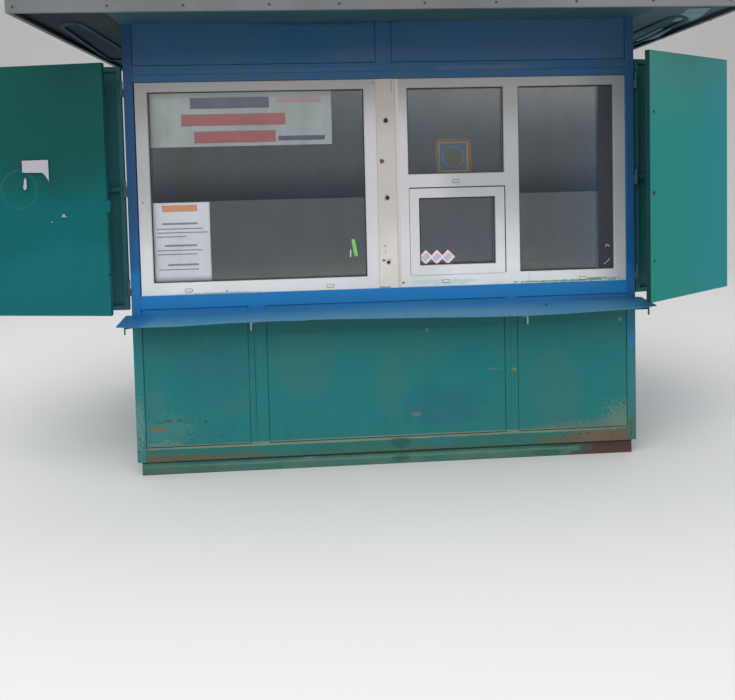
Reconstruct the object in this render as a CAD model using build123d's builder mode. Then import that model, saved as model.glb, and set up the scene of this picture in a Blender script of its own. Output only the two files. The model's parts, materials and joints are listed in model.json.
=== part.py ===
from build123d import *
import math
import os

os.makedirs("parts", exist_ok=True)

# Overall body, in millimetres. X runs along the front, Y away from the front, Z up.
body_width = 2800
body_depth = 2000

# Base and floor
base_height = 80
base_inset = 20
base_beam_width = 60
base_web = 6
base_flange = 8
joist_width = 50
joist_count = 3
floor_thickness = 20

# Heights of the front, from the base beams up
bottom_rail_height = 77
lower_panel_height = 767
sill_rail_height = 72
window_height = 1154
lintel_height = 85
upper_panel_height = 237
top_rail_height = 60

# Body frame and walls
post_size = 50
post_wall = 3
post_round = 4
rail_depth = 50
wall_thickness = 50
panel_recess = 4
panel_groove_width = 4
panel_groove_depth = 6
lintel_line_drop = 47
lintel_line_height = 3
lintel_line_depth = 3
seam_width = 5
seam_depth = 6
upper_post_width = 84

# Bays below the sill: width of the outer bays, posts and their flush strips
left_bay_width = 573
left_post_width = 98
left_strip_width = 28
right_bay_width = 631
right_post_width = 69
right_strip_width = 33
strip_recess = 2

# Plastic windows
frame_setback = 10
frame_depth = 60
frame_lip_width = 66
frame_lip_depth = 18
frame_lip_bevel = 4
rebate_width = 50
frame_head_width = 52
frame_side_gap = 5
frame_head_gap = 2
pane_thickness = 4
pane_cavity = 16
pane_clearance = 3
spacer_width = 12
bead_width = 15
mullion_width = 85
tall_light_width = 538
hatch_height = 482
transom_width = 78
coupler_shift = 6
coupler_width = 102
coupler_gap = 3
coupler_proud = 4
coupler_hole_radius = 8
coupler_hole_depth = 30
sash_proud = 4
sash_width = 52
sash_rebate = 38
sash_clearance = 2

# Counter shelf
shelf_seam_drop = 36
shelf_drop = 14
shelf_sag = 21
shelf_sag_start = 460
shelf_low_start = 560
shelf_low_end = 930
shelf_end_lift = 12
shelf_end_lift_length = 92
shelf_reach = 200
shelf_sheet = 2
shelf_side = 32
shelf_lip = 10
shelf_flange = 40
bracket_thickness = 5
bracket_height = 62
bracket_stub = 42
bracket_bar = 12
bracket_web = 15
bracket_end_inset = 8
bracket_left_shift = -16
bracket_right_shift = 38

# Side door
door_back_margin = 80
door_width = 780
door_height = 1930
door_frame_face = 40
door_leaf_thickness = 40
door_skin = 2
door_gap = 4
door_overlap = 12
door_handle_rise = 990
door_handle_inset = 55
door_handle_length = 130
door_handle_reach = 30
door_handle_radius = 7
door_handle_end = 12
door_hinge_radius = 8
door_hinge_length = 90
door_hinge_margin = 220

# Roof
eave_front = 420
eave_back = 150
eave_side = 425
eave_beam_width = 40
eave_beam_height = 60
rafter_width = 40
rafter_count = 5
fascia_drop = 37
fascia_rise = 45
fascia_sheet = 2
fascia_lip = 25
roof_fall = 45
roof_sheet_thickness = 3
roof_sheet_drip = 25
roof_seam_width = 6
roof_seam_height = 22
roof_seam_count = 7
soffit_sheet = 3
soffit_drop = 10
soffit_slot_front_margin = 318
soffit_slot_front_skew = 120
soffit_slot_front_inset = 220
soffit_slot_front_width = 100
soffit_slot_back_inset = 215
soffit_slot_back_width = 180
soffit_slot_length = 1300
soffit_slot_round = 30
soffit_rim_width = 26
soffit_rim_depth = 10
ceiling_thickness = 18

# Shutters
leaf_thickness = 26
leaf_skin = 2
leaf_rim = 24
leaf_seam_lap = 2
leaf_standoff = 20
leaf_edge_gap = 6
hinge_offset = 11
hinge_radius = 7
hinge_pin_radius = 4
hinge_pin_clearance = 0.3
hinge_half_length = 42
hinge_gap = 1
hinge_plate = 4
hinge_bar = 6
hinge_end_margin = 120
fold_axis_offset = 4
fold_edge_gap = 7
fold_knuckle_radius = 5
fold_pin_radius = 2.5
fold_plate = 2
fold_plate_width = 26
fold_knuckle_length = 24
fold_end_margin = 95
left_inner_width = 700
right_inner_width = 582
left_meeting_gap = 25
right_meeting_gap = 30
left_open_angle = 180
right_open_angle = 192
left_fold_angle = 169
right_fold_angle = 159
bolt_hole_radius = 6
lock_hole_radius = 9
lock_tab_reach = 20
lock_notch_height = 12
lock_notch_depth = 7
bolt_hole_inset = 36
bolt_hole_low = 217
lock_hole_level = 574
bolt_hole_high = 998
lock_tab_height = 60
lock_tab_width = 24
lock_tab_thickness = 4

# Things shown behind the glass
sign_side_gap = 9
sign_top_gap = 11
sign_width = 998
sign_height = 306
sign_thickness = 8
picture_side_gap = 161
picture_size = 205
picture_seat = 10
picture_depth = 18
picture_moulding = 18
picture_board = 12

front_y = -body_depth / 2
back_y = body_depth / 2
left_x = -body_width / 2
right_x = body_width / 2
floor_top = base_height + floor_thickness
bottom_rail_top = base_height + bottom_rail_height
sill_rail_bottom = bottom_rail_top + lower_panel_height
sill_rail_top = sill_rail_bottom + sill_rail_height
lintel_bottom = sill_rail_top + window_height
lintel_top = lintel_bottom + lintel_height
wall_top = lintel_top + upper_panel_height
roof_frame_z0 = wall_top + top_rail_height
roof_frame_z1 = roof_frame_z0 + eave_beam_height
fascia_bottom = wall_top - fascia_drop
fascia_top = roof_frame_z1 + fascia_rise


def block(x0, x1, y0, y1, z0, z1, mode=Mode.ADD):
    """Add or cut a square-cornered bar between the given limits."""
    with Locations(((x0 + x1) / 2, (y0 + y1) / 2, (z0 + z1) / 2)):
        Box(x1 - x0, y1 - y0, z1 - z0, mode=mode)


# Base beams: channels along the front and the back
with BuildPart() as base_long_beams:
    for side in (-1, 1):
        y_out = side * (body_depth / 2 - base_inset)
        y_in = y_out - side * base_beam_width
        y_web = y_out - side * base_web
        x_end = body_width / 2 - base_inset
        block(-x_end, x_end, min(y_out, y_in), max(y_out, y_in), 0, base_height)
        block(
            -x_end, x_end, min(y_web, y_in), max(y_web, y_in),
            base_flange, base_height - base_flange, mode=Mode.SUBTRACT,
        )
base_long_beams.part.label = "base_long_beams"
export_step(base_long_beams.part, "parts/base_long_beams.step")

# Base cross beams: the two ends and the joists between them
cross_y = body_depth / 2 - base_inset - base_beam_width
with BuildPart() as base_cross_beams:
    for side in (-1, 1):
        x_out = side * (body_width / 2 - base_inset)
        x_in = x_out - side * base_beam_width
        x_web = x_out - side * base_web
        block(min(x_out, x_in), max(x_out, x_in), -cross_y, cross_y, 0, base_height)
        block(
            min(x_web, x_in), max(x_web, x_in), -cross_y, cross_y,
            base_flange, base_height - base_flange, mode=Mode.SUBTRACT,
        )
    for index in range(joist_count):
        step = (body_width - 2 * base_inset) / (joist_count + 1)
        x_mid = -body_width / 2 + base_inset + step * (index + 1)
        x0 = x_mid - joist_width / 2
        x1 = x_mid + joist_width / 2
        block(x0, x1, -cross_y, cross_y, 0, base_height)
        block(
            x0 + base_web, x1 + 1, -cross_y, cross_y,
            base_flange, base_height - base_flange, mode=Mode.SUBTRACT,
        )
base_cross_beams.part.label = "base_cross_beams"
export_step(base_cross_beams.part, "parts/base_cross_beams.step")

# Floor deck between the bottom rails
with BuildPart() as floor_deck:
    block(
        left_x + rail_depth, right_x - rail_depth, front_y + rail_depth, back_y - rail_depth,
        base_height, floor_top,
    )
floor_deck.part.label = "floor_deck"
export_step(floor_deck.part, "parts/floor_deck.step")

# Corner posts: square tubes
with BuildPart() as corner_posts:
    with BuildSketch(Plane.XY.offset(base_height)):
        with GridLocations(body_width - post_size, body_depth - post_size, 2, 2):
            RectangleRounded(post_size, post_size, post_round)
        with GridLocations(body_width - post_size, body_depth - post_size, 2, 2):
            Rectangle(post_size - 2 * post_wall, post_size - 2 * post_wall, mode=Mode.SUBTRACT)
    extrude(amount=roof_frame_z0 - base_height)
corner_posts.part.label = "corner_posts"
export_step(corner_posts.part, "parts/corner_posts.step")


def rail_ring(z0, z1):
    """Add four rails between the corner posts, one on each side of the body."""
    x_end = body_width / 2 - post_size
    y_end = body_depth / 2 - post_size
    block(-x_end, x_end, front_y, front_y + rail_depth, z0, z1)
    block(-x_end, x_end, back_y - rail_depth, back_y, z0, z1)
    block(left_x, left_x + rail_depth, -y_end, y_end, z0, z1)
    block(right_x - rail_depth, right_x, -y_end, y_end, z0, z1)


# Bottom rails on the base beams
with BuildPart() as bottom_rails:
    rail_ring(base_height, bottom_rail_top)
bottom_rails.part.label = "bottom_rails"
export_step(bottom_rails.part, "parts/bottom_rails.step")

# Top rails under the roof frame
with BuildPart() as top_rails:
    rail_ring(wall_top, roof_frame_z0)
top_rails.part.label = "top_rails"
export_step(top_rails.part, "parts/top_rails.step")

# Sill rail and lintel rail of the front
rail_x = body_width / 2 - post_size
with BuildPart() as sill_rail:
    block(-rail_x, rail_x, front_y, front_y + rail_depth, sill_rail_bottom, sill_rail_top)
sill_rail.part.label = "sill_rail"
export_step(sill_rail.part, "parts/sill_rail.step")

with BuildPart() as lintel_rail:
    block(-rail_x, rail_x, front_y, front_y + rail_depth, lintel_bottom, lintel_top)
    lintel_line_z = lintel_top - lintel_line_drop
    block(
        -rail_x - 1, rail_x + 1, front_y - 1, front_y + lintel_line_depth,
        lintel_line_z, lintel_line_z + lintel_line_height, mode=Mode.SUBTRACT,
    )
lintel_rail.part.label = "lintel_rail"
export_step(lintel_rail.part, "parts/lintel_rail.step")

# Posts of the front below the sill: a post with a thinner strip on its left side
left_post_x0 = left_x + post_size + left_bay_width
left_post_x1 = left_post_x0 + left_post_width
right_post_x1 = right_x - post_size - right_bay_width
right_post_x0 = right_post_x1 - right_post_width


def stepped_post(x0, x1, strip):
    """Add one post whose left strip lies a little behind its face."""
    with BuildSketch(Plane.XY.offset(bottom_rail_top)) as outline:
        with BuildLine():
            Polyline(
                (x0, front_y + strip_recess),
                (x0 + strip, front_y + strip_recess),
                (x0 + strip, front_y),
                (x1, front_y),
                (x1, front_y + rail_depth),
                (x0, front_y + rail_depth),
                close=True,
            )
        make_face()
    extrude(outline.sketch, amount=lower_panel_height)


with BuildPart() as lower_posts:
    stepped_post(left_post_x0, left_post_x1, left_strip_width)
    stepped_post(right_post_x0, right_post_x1, right_strip_width)
lower_posts.part.label = "lower_posts"
export_step(lower_posts.part, "parts/lower_posts.step")

# Front panels below the sill
panel_y0 = front_y + panel_recess
panel_y1 = front_y + wall_thickness


def grooved_panel(x0, x1, z0, z1):
    """Add one front panel with a narrow groove along the four edges of its face."""
    block(x0, x1, panel_y0, panel_y1, z0, z1)
    for gx0, gx1, gz0, gz1 in (
        (x0 - 1, x0 + panel_groove_width, z0 - 1, z1 + 1),
        (x1 - panel_groove_width, x1 + 1, z0 - 1, z1 + 1),
        (x0 - 1, x1 + 1, z0 - 1, z0 + panel_groove_width),
        (x0 - 1, x1 + 1, z1 - panel_groove_width, z1 + 1),
    ):
        block(
            gx0, gx1, panel_y0 - 1, panel_y0 + panel_groove_depth, gz0, gz1,
            mode=Mode.SUBTRACT,
        )


with BuildPart() as lower_panels:
    grooved_panel(-rail_x, left_post_x0, bottom_rail_top, sill_rail_bottom)
    grooved_panel(left_post_x1, right_post_x0, bottom_rail_top, sill_rail_bottom)
    grooved_panel(right_post_x1, rail_x, bottom_rail_top, sill_rail_bottom)
lower_panels.part.label = "lower_panels"
export_step(lower_panels.part, "parts/lower_panels.step")

# Post and panels above the lintel
with BuildPart() as upper_post:
    block(
        -upper_post_width / 2, upper_post_width / 2, front_y, front_y + rail_depth,
        lintel_top, wall_top,
    )
upper_post.part.label = "upper_post"
export_step(upper_post.part, "parts/upper_post.step")

with BuildPart() as upper_panels:
    grooved_panel(-rail_x, -upper_post_width / 2, lintel_top, wall_top)
    grooved_panel(upper_post_width / 2, rail_x, lintel_top, wall_top)
upper_panels.part.label = "upper_panels"
export_step(upper_panels.part, "parts/upper_panels.step")

# Windows: frame profile levels from the front
frame_y0 = front_y + frame_setback
frame_lip_y = frame_y0 + frame_lip_depth
frame_y1 = frame_y0 + frame_depth
pane_inner_y = frame_lip_y + pane_thickness + pane_cavity
bead_y0 = pane_inner_y + pane_thickness
frame_z0 = sill_rail_top
frame_z1 = lintel_bottom - frame_head_gap

# Windows: places of the frames, the coupling post, the mullion and the transom
coupler_x0 = coupler_shift - coupler_width / 2
coupler_x1 = coupler_shift + coupler_width / 2
left_frame_x0 = left_x + post_size + frame_side_gap
left_frame_x1 = coupler_x0 - coupler_gap
right_frame_x0 = coupler_x1 + coupler_gap
right_frame_x1 = right_x - post_size
mullion_x1 = right_frame_x1 - frame_lip_width - tall_light_width
mullion_x0 = mullion_x1 - mullion_width
light_z0 = frame_z0 + frame_lip_width
light_z1 = frame_z1 - frame_head_width
transom_z0 = light_z0 + hatch_height
transom_z1 = transom_z0 + transom_width


def light(x0, x1, z0, z1):
    """Cut one glazed light: a bevelled sight opening and the wider rebate behind the lip."""
    step = frame_lip_width - rebate_width
    width = x1 - x0
    height = z1 - z0
    centre = ((x0 + x1) / 2, frame_y0, (z0 + z1) / 2)
    with BuildSketch(Plane(origin=centre, x_dir=(1, 0, 0), z_dir=(0, 1, 0))) as outer:
        Rectangle(width + 2 * frame_lip_bevel, height + 2 * frame_lip_bevel)
    inner_centre = (centre[0], frame_y0 + frame_lip_bevel, centre[2])
    with BuildSketch(Plane(origin=inner_centre, x_dir=(1, 0, 0), z_dir=(0, 1, 0))) as inner:
        Rectangle(width, height)
    loft([outer.sketch, inner.sketch], mode=Mode.SUBTRACT)
    block(x0, x1, frame_y0 + frame_lip_bevel, frame_y1 + 1, z0, z1, mode=Mode.SUBTRACT)
    block(
        x0 - step, x1 + step, frame_lip_y, frame_y1 + 1, z0 - step, z1 + step,
        mode=Mode.SUBTRACT,
    )


def panes(x0, x1, z0, z1, border):
    """Add the outer and inner pane of one sealed unit, reaching into its rebate."""
    block(
        x0 - border, x1 + border, frame_lip_y, frame_lip_y + pane_thickness,
        z0 - border, z1 + border,
    )
    block(x0 - border, x1 + border, pane_inner_y, bead_y0, z0 - border, z1 + border)


def ring(x0, x1, z0, z1, width, y0, y1):
    """Add a rectangular ring lying in the plane of the front."""
    block(x0, x1, y0, y1, z0, z1)
    block(
        x0 + width, x1 - width, y0 - 1, y1 + 1, z0 + width, z1 - width,
        mode=Mode.SUBTRACT,
    )


left_light = (
    left_frame_x0 + frame_lip_width, left_frame_x1 - frame_lip_width, light_z0, light_z1,
)
upper_light = (right_frame_x0 + frame_lip_width, mullion_x0, transom_z1, light_z1)
tall_light = (mullion_x1, right_frame_x1 - frame_lip_width, light_z0, light_z1)
hatch_light = (right_frame_x0 + frame_lip_width, mullion_x0, light_z0, transom_z0)

with BuildPart() as window_frame_left:
    block(left_frame_x0, left_frame_x1, frame_y0, frame_y1, frame_z0, frame_z1)
    light(*left_light)
window_frame_left.part.label = "window_frame_left"
export_step(window_frame_left.part, "parts/window_frame_left.step")

with BuildPart() as window_frame_right:
    block(right_frame_x0, right_frame_x1, frame_y0, frame_y1, frame_z0, frame_z1)
    light(*upper_light)
    light(*tall_light)
    block(
        hatch_light[0], hatch_light[1], frame_y0 - 1, frame_y1 + 1,
        hatch_light[2], hatch_light[3], mode=Mode.SUBTRACT,
    )
window_frame_right.part.label = "window_frame_right"
export_step(window_frame_right.part, "parts/window_frame_right.step")

# Shutter levels, and the levels of the bolts that hold the closed shutters to the coupling post
leaf_bottom = sill_rail_bottom - leaf_seam_lap
leaf_top = lintel_top + leaf_seam_lap
bolt_levels = (
    leaf_bottom + bolt_hole_low, leaf_bottom + lock_hole_level, leaf_bottom + bolt_hole_high,
)

# Coupling post between the two windows, with the bolt holes
with BuildPart() as window_coupler:
    block(coupler_x0, coupler_x1, frame_y0 - coupler_proud, frame_y1, frame_z0, frame_z1)
    for z_at in bolt_levels:
        with Locations(
            Plane(origin=(coupler_shift, frame_y0 - coupler_proud, z_at), z_dir=(0, 1, 0))
        ):
            Cylinder(
                coupler_hole_radius, coupler_hole_depth,
                align=(Align.CENTER, Align.CENTER, Align.MIN), mode=Mode.SUBTRACT,
            )
window_coupler.part.label = "window_coupler"
export_step(window_coupler.part, "parts/window_coupler.step")

# Serving hatch sash
hatch_x0 = hatch_light[0] + sash_clearance
hatch_x1 = hatch_light[1] - sash_clearance
hatch_z0 = hatch_light[2]
hatch_z1 = hatch_light[3] - sash_clearance
sash_step = sash_width - sash_rebate
with BuildPart() as hatch_sash:
    block(hatch_x0, hatch_x1, frame_y0 - sash_proud, frame_y1, hatch_z0, hatch_z1)
    block(
        hatch_x0 + sash_width, hatch_x1 - sash_width, frame_y0 - sash_proud - 1, frame_y1 + 1,
        hatch_z0 + sash_width, hatch_z1 - sash_width, mode=Mode.SUBTRACT,
    )
    block(
        hatch_x0 + sash_rebate, hatch_x1 - sash_rebate, frame_lip_y, frame_y1 + 1,
        hatch_z0 + sash_rebate, hatch_z1 - sash_rebate, mode=Mode.SUBTRACT,
    )
hatch_sash.part.label = "hatch_sash"
export_step(hatch_sash.part, "parts/hatch_sash.step")

# Sealed glass units: two panes each
unit_border = frame_lip_width - rebate_width - pane_clearance
hatch_glass = (
    hatch_x0 + sash_width, hatch_x1 - sash_width, hatch_z0 + sash_width, hatch_z1 - sash_width,
)
hatch_border = sash_step - pane_clearance
with BuildPart() as glass_left:
    panes(*left_light, unit_border)
glass_left.part.label = "glass_left"
export_step(glass_left.part, "parts/glass_left.step")

with BuildPart() as glass_right:
    panes(*upper_light, unit_border)
    panes(*tall_light, unit_border)
glass_right.part.label = "glass_right"
export_step(glass_right.part, "parts/glass_right.step")

with BuildPart() as glass_hatch:
    panes(*hatch_glass, hatch_border)
glass_hatch.part.label = "glass_hatch"
export_step(glass_hatch.part, "parts/glass_hatch.step")

# Spacer bars between the panes and beads behind them
units = (
    (left_light, unit_border), (upper_light, unit_border),
    (tall_light, unit_border), (hatch_glass, hatch_border),
)
with BuildPart() as glass_spacers:
    for (x0, x1, z0, z1), border in units:
        ring(
            x0 - border, x1 + border, z0 - border, z1 + border, spacer_width,
            frame_lip_y + pane_thickness, pane_inner_y,
        )
glass_spacers.part.label = "glass_spacers"
export_step(glass_spacers.part, "parts/glass_spacers.step")

with BuildPart() as glazing_beads:
    for (x0, x1, z0, z1), border in units:
        seat = border + pane_clearance
        ring(x0 - seat, x1 + seat, z0 - seat, z1 + seat, bead_width, bead_y0, frame_y1)
glazing_beads.part.label = "glazing_beads"
export_step(glazing_beads.part, "parts/glazing_beads.step")

# Counter shelf: one bent sheet with a back flange and a front lip, sagging between stations
shelf_back_z = sill_rail_bottom - shelf_seam_drop
shelf_x = body_width / 2 + shelf_side
shelf_front_y = front_y - shelf_reach
shelf_front_z = shelf_back_z - shelf_drop
shelf_stations = (
    (-shelf_x, shelf_front_z),
    (-shelf_sag_start, shelf_front_z),
    (shelf_low_start, shelf_front_z - shelf_sag),
    (shelf_low_end, shelf_front_z - shelf_sag),
    (shelf_x - shelf_end_lift_length, shelf_front_z),
    (shelf_x, shelf_front_z + shelf_end_lift),
)


def shelf_front_level(x):
    """Give the height of the front edge at a place, on the line between two stations."""
    for (x0, z0), (x1, z1) in zip(shelf_stations, shelf_stations[1:]):
        if x0 <= x <= x1:
            return z0 + (z1 - z0) * (x - x0) / (x1 - x0)
    return shelf_front_z


with BuildPart() as counter_shelf:
    for x_at, front_z in shelf_stations:
        with BuildSketch(Plane.YZ.offset(x_at)):
            Polygon(
                (front_y, shelf_back_z),
                (shelf_front_y, front_z),
                (shelf_front_y, front_z - shelf_lip),
                (shelf_front_y + shelf_sheet, front_z - shelf_lip),
                (shelf_front_y + shelf_sheet, front_z - shelf_sheet),
                (front_y - shelf_sheet, shelf_back_z - shelf_sheet),
                (front_y - shelf_sheet, shelf_back_z - shelf_flange),
                (front_y, shelf_back_z - shelf_flange),
                align=None,
            )
    loft(ruled=True)
counter_shelf.part.label = "counter_shelf"
export_step(counter_shelf.part, "parts/counter_shelf.step")

# Shelf brackets: gusset plates at the ends and at the posts below the sill
bracket_front_y = shelf_front_y + shelf_sheet
bracket_back_y = front_y - shelf_sheet
bracket_xs = (
    left_x + bracket_end_inset,
    (left_post_x0 + left_post_x1) / 2 + bracket_left_shift,
    (right_post_x0 + right_post_x1) / 2 + bracket_right_shift,
    right_x - bracket_end_inset - bracket_thickness,
)


def shelf_underside(x, y):
    """Give the height of the underside of the shelf sheet over a bracket, at a depth."""
    front_z = min(shelf_front_level(x), shelf_front_level(x + bracket_thickness))
    share = (bracket_back_y - y) / (bracket_back_y - bracket_front_y)
    return shelf_back_z - shelf_sheet + (front_z - shelf_back_z) * share


with BuildPart() as shelf_brackets:
    for x_at in bracket_xs:
        bar_y = bracket_front_y + bracket_bar
        front_z = shelf_underside(x_at, bracket_front_y)
        with BuildSketch(Plane.YZ.offset(x_at)):
            Polygon(
                (bracket_back_y, shelf_underside(x_at, bracket_back_y)),
                (bracket_front_y, front_z),
                (bracket_front_y, front_z - bracket_stub),
                (bar_y, front_z - bracket_stub),
                (bar_y, shelf_underside(x_at, bar_y) - bracket_web),
                (bracket_back_y, shelf_back_z - bracket_height),
                align=None,
            )
        extrude(amount=bracket_thickness)
shelf_brackets.part.label = "shelf_brackets"
export_step(shelf_brackets.part, "parts/shelf_brackets.step")

# Side and back walls: sandwich panels with shallow sheet seams
wall_y = body_depth / 2 - post_size
door_y1 = wall_y - door_back_margin
door_y0 = door_y1 - door_width
door_top = bottom_rail_top + door_height


def side_seams(x0, x1, y_mid):
    """Cut the level seam and one upright seam into a side wall's face."""
    z0 = sill_rail_bottom - seam_width / 2
    block(x0, x1, -wall_y - 1, wall_y + 1, z0, z0 + seam_width, mode=Mode.SUBTRACT)
    y0 = y_mid - seam_width / 2
    block(x0, x1, y0, y0 + seam_width, bottom_rail_top - 1, wall_top + 1, mode=Mode.SUBTRACT)


wall_face_left = left_x + panel_recess
wall_face_right = right_x - panel_recess
with BuildPart() as left_wall:
    block(wall_face_left, left_x + wall_thickness, -wall_y, wall_y, bottom_rail_top, wall_top)
    side_seams(wall_face_left - 1, wall_face_left + seam_depth, (door_y0 - wall_y) / 2)
    block(
        left_x, left_x + wall_thickness + 1, door_y0, door_y1, bottom_rail_top - 1, door_top,
        mode=Mode.SUBTRACT,
    )
left_wall.part.label = "left_wall"
export_step(left_wall.part, "parts/left_wall.step")

with BuildPart() as right_wall:
    block(right_x - wall_thickness, wall_face_right, -wall_y, wall_y, bottom_rail_top, wall_top)
    side_seams(wall_face_right - seam_depth, wall_face_right + 1, 0)
right_wall.part.label = "right_wall"
export_step(right_wall.part, "parts/right_wall.step")

wall_face_back = back_y - panel_recess
with BuildPart() as back_wall:
    block(-rail_x, rail_x, back_y - wall_thickness, wall_face_back, bottom_rail_top, wall_top)
    seam_z = sill_rail_bottom - seam_width / 2
    block(
        -rail_x - 1, rail_x + 1, wall_face_back - seam_depth, wall_face_back + 1,
        seam_z, seam_z + seam_width, mode=Mode.SUBTRACT,
    )
    for x_mid in (-rail_x / 3, rail_x / 3):
        block(
            x_mid - seam_width / 2, x_mid + seam_width / 2, wall_face_back - seam_depth,
            wall_face_back + 1, bottom_rail_top - 1, wall_top + 1, mode=Mode.SUBTRACT,
        )
back_wall.part.label = "back_wall"
export_step(back_wall.part, "parts/back_wall.step")

# Door in the left wall: frame, leaf, pull handle and hinges
with BuildPart() as door_frame:
    block(left_x, left_x + wall_thickness, door_y0, door_y1, bottom_rail_top, door_top)
    block(
        left_x - 1, left_x + wall_thickness + 1, door_y0 + door_frame_face,
        door_y1 - door_frame_face, bottom_rail_top + door_frame_face,
        door_top - door_frame_face, mode=Mode.SUBTRACT,
    )
door_frame.part.label = "door_frame"
export_step(door_frame.part, "parts/door_frame.step")

door_leaf_y0 = door_y0 + door_frame_face + door_gap
door_leaf_y1 = door_y1 - door_frame_face - door_gap
door_leaf_z0 = bottom_rail_top + door_frame_face + door_gap
door_leaf_z1 = door_top - door_frame_face - door_gap
door_skin_x = left_x - door_skin
with BuildPart() as door_leaf:
    block(
        left_x, left_x + door_leaf_thickness, door_leaf_y0, door_leaf_y1,
        door_leaf_z0, door_leaf_z1,
    )
    block(
        door_skin_x, left_x, door_leaf_y0 - door_overlap, door_leaf_y1 + door_overlap,
        door_leaf_z0 - door_overlap, door_leaf_z1 + door_overlap,
    )
door_leaf.part.label = "door_leaf"
export_step(door_leaf.part, "parts/door_leaf.step")

door_handle_z = bottom_rail_top + door_handle_rise
door_handle_y = door_leaf_y0 + door_handle_inset
with BuildPart() as door_handle:
    for rise in (-door_handle_length / 2, door_handle_length / 2):
        spot = (door_skin_x, door_handle_y, door_handle_z + rise)
        with Locations(Plane(origin=spot, z_dir=(-1, 0, 0))):
            Cylinder(
                door_handle_radius, door_handle_reach,
                align=(Align.CENTER, Align.CENTER, Align.MIN),
            )
    with Locations((door_skin_x - door_handle_reach, door_handle_y, door_handle_z)):
        Cylinder(door_handle_radius, door_handle_length + 2 * door_handle_end)
door_handle.part.label = "door_handle"
export_step(door_handle.part, "parts/door_handle.step")

with BuildPart() as door_hinges:
    for z_at in (door_leaf_z0 + door_hinge_margin, door_leaf_z1 - door_hinge_margin):
        spot = (door_skin_x - door_hinge_radius, door_leaf_y1 + door_overlap / 2, z_at)
        with Locations(spot):
            Cylinder(door_hinge_radius, door_hinge_length)
door_hinges.part.label = "door_hinges"
export_step(door_hinges.part, "parts/door_hinges.step")

# Ceiling board between the walls
with BuildPart() as ceiling_board:
    block(
        left_x + wall_thickness, right_x - wall_thickness, front_y + wall_thickness,
        back_y - wall_thickness, wall_top - ceiling_thickness, wall_top,
    )
ceiling_board.part.label = "ceiling_board"
export_step(ceiling_board.part, "parts/ceiling_board.step")

# Roof frame: eave beams along the front and back, rafters between them
eave_y0 = front_y - eave_front + fascia_sheet
eave_y1 = back_y + eave_back - fascia_sheet
eave_x = body_width / 2 + eave_side - fascia_sheet
with BuildPart() as eave_beams:
    block(-eave_x, eave_x, eave_y0, eave_y0 + eave_beam_width, roof_frame_z0, roof_frame_z1)
    block(-eave_x, eave_x, eave_y1 - eave_beam_width, eave_y1, roof_frame_z0, roof_frame_z1)
eave_beams.part.label = "eave_beams"
export_step(eave_beams.part, "parts/eave_beams.step")

with BuildPart() as roof_rafters:
    pitch = (2 * eave_x - rafter_width) / (rafter_count - 1)
    for index in range(rafter_count):
        x0 = -eave_x + pitch * index
        block(
            x0, x0 + rafter_width, eave_y0 + eave_beam_width, eave_y1 - eave_beam_width,
            roof_frame_z0, roof_frame_z1,
        )
roof_rafters.part.label = "roof_rafters"
export_step(roof_rafters.part, "parts/roof_rafters.step")

# Fascias: sheets with a return lip at the bottom
fascia_x = body_width / 2 + eave_side
fascia_y0 = front_y - eave_front
fascia_y1 = back_y + eave_back
with BuildPart() as fascia_long:
    for side in (-1, 1):
        y_face = fascia_y0 if side < 0 else fascia_y1
        y_in = y_face - side * fascia_sheet
        y_lip = y_face - side * fascia_lip
        block(-fascia_x, fascia_x, min(y_face, y_in), max(y_face, y_in), fascia_bottom, fascia_top)
        block(
            -fascia_x + fascia_sheet, fascia_x - fascia_sheet, min(y_in, y_lip), max(y_in, y_lip),
            fascia_bottom, fascia_bottom + fascia_sheet,
        )
fascia_long.part.label = "fascia_long"
export_step(fascia_long.part, "parts/fascia_long.step")

with BuildPart() as fascia_side:
    for side in (-1, 1):
        x_face = side * fascia_x
        x_in = x_face - side * fascia_sheet
        x_lip = x_face - side * fascia_lip
        y0 = fascia_y0 + fascia_sheet
        y1 = fascia_y1 - fascia_sheet
        block(min(x_face, x_in), max(x_face, x_in), y0, y1, fascia_bottom, fascia_top)
        block(
            min(x_in, x_lip), max(x_in, x_lip), fascia_y0 + fascia_lip,
            fascia_y1 - fascia_lip, fascia_bottom, fascia_bottom + fascia_sheet,
        )
fascia_side.part.label = "fascia_side"
export_step(fascia_side.part, "parts/fascia_side.step")

# Soffit sheets in front of and behind the body, between the wall and the fascia
soffit_top = wall_top - soffit_drop
soffit_z = soffit_top - soffit_sheet
soffit_y0 = fascia_y0 + fascia_sheet
soffit_y1 = fascia_y1 - fascia_sheet
with BuildPart() as soffit_long:
    for y_near, y_far in ((soffit_y0, front_y), (back_y, soffit_y1)):
        block(left_x, right_x, y_near, y_far, soffit_z, soffit_top)
soffit_long.part.label = "soffit_long"
export_step(soffit_long.part, "parts/soffit_long.step")

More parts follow.
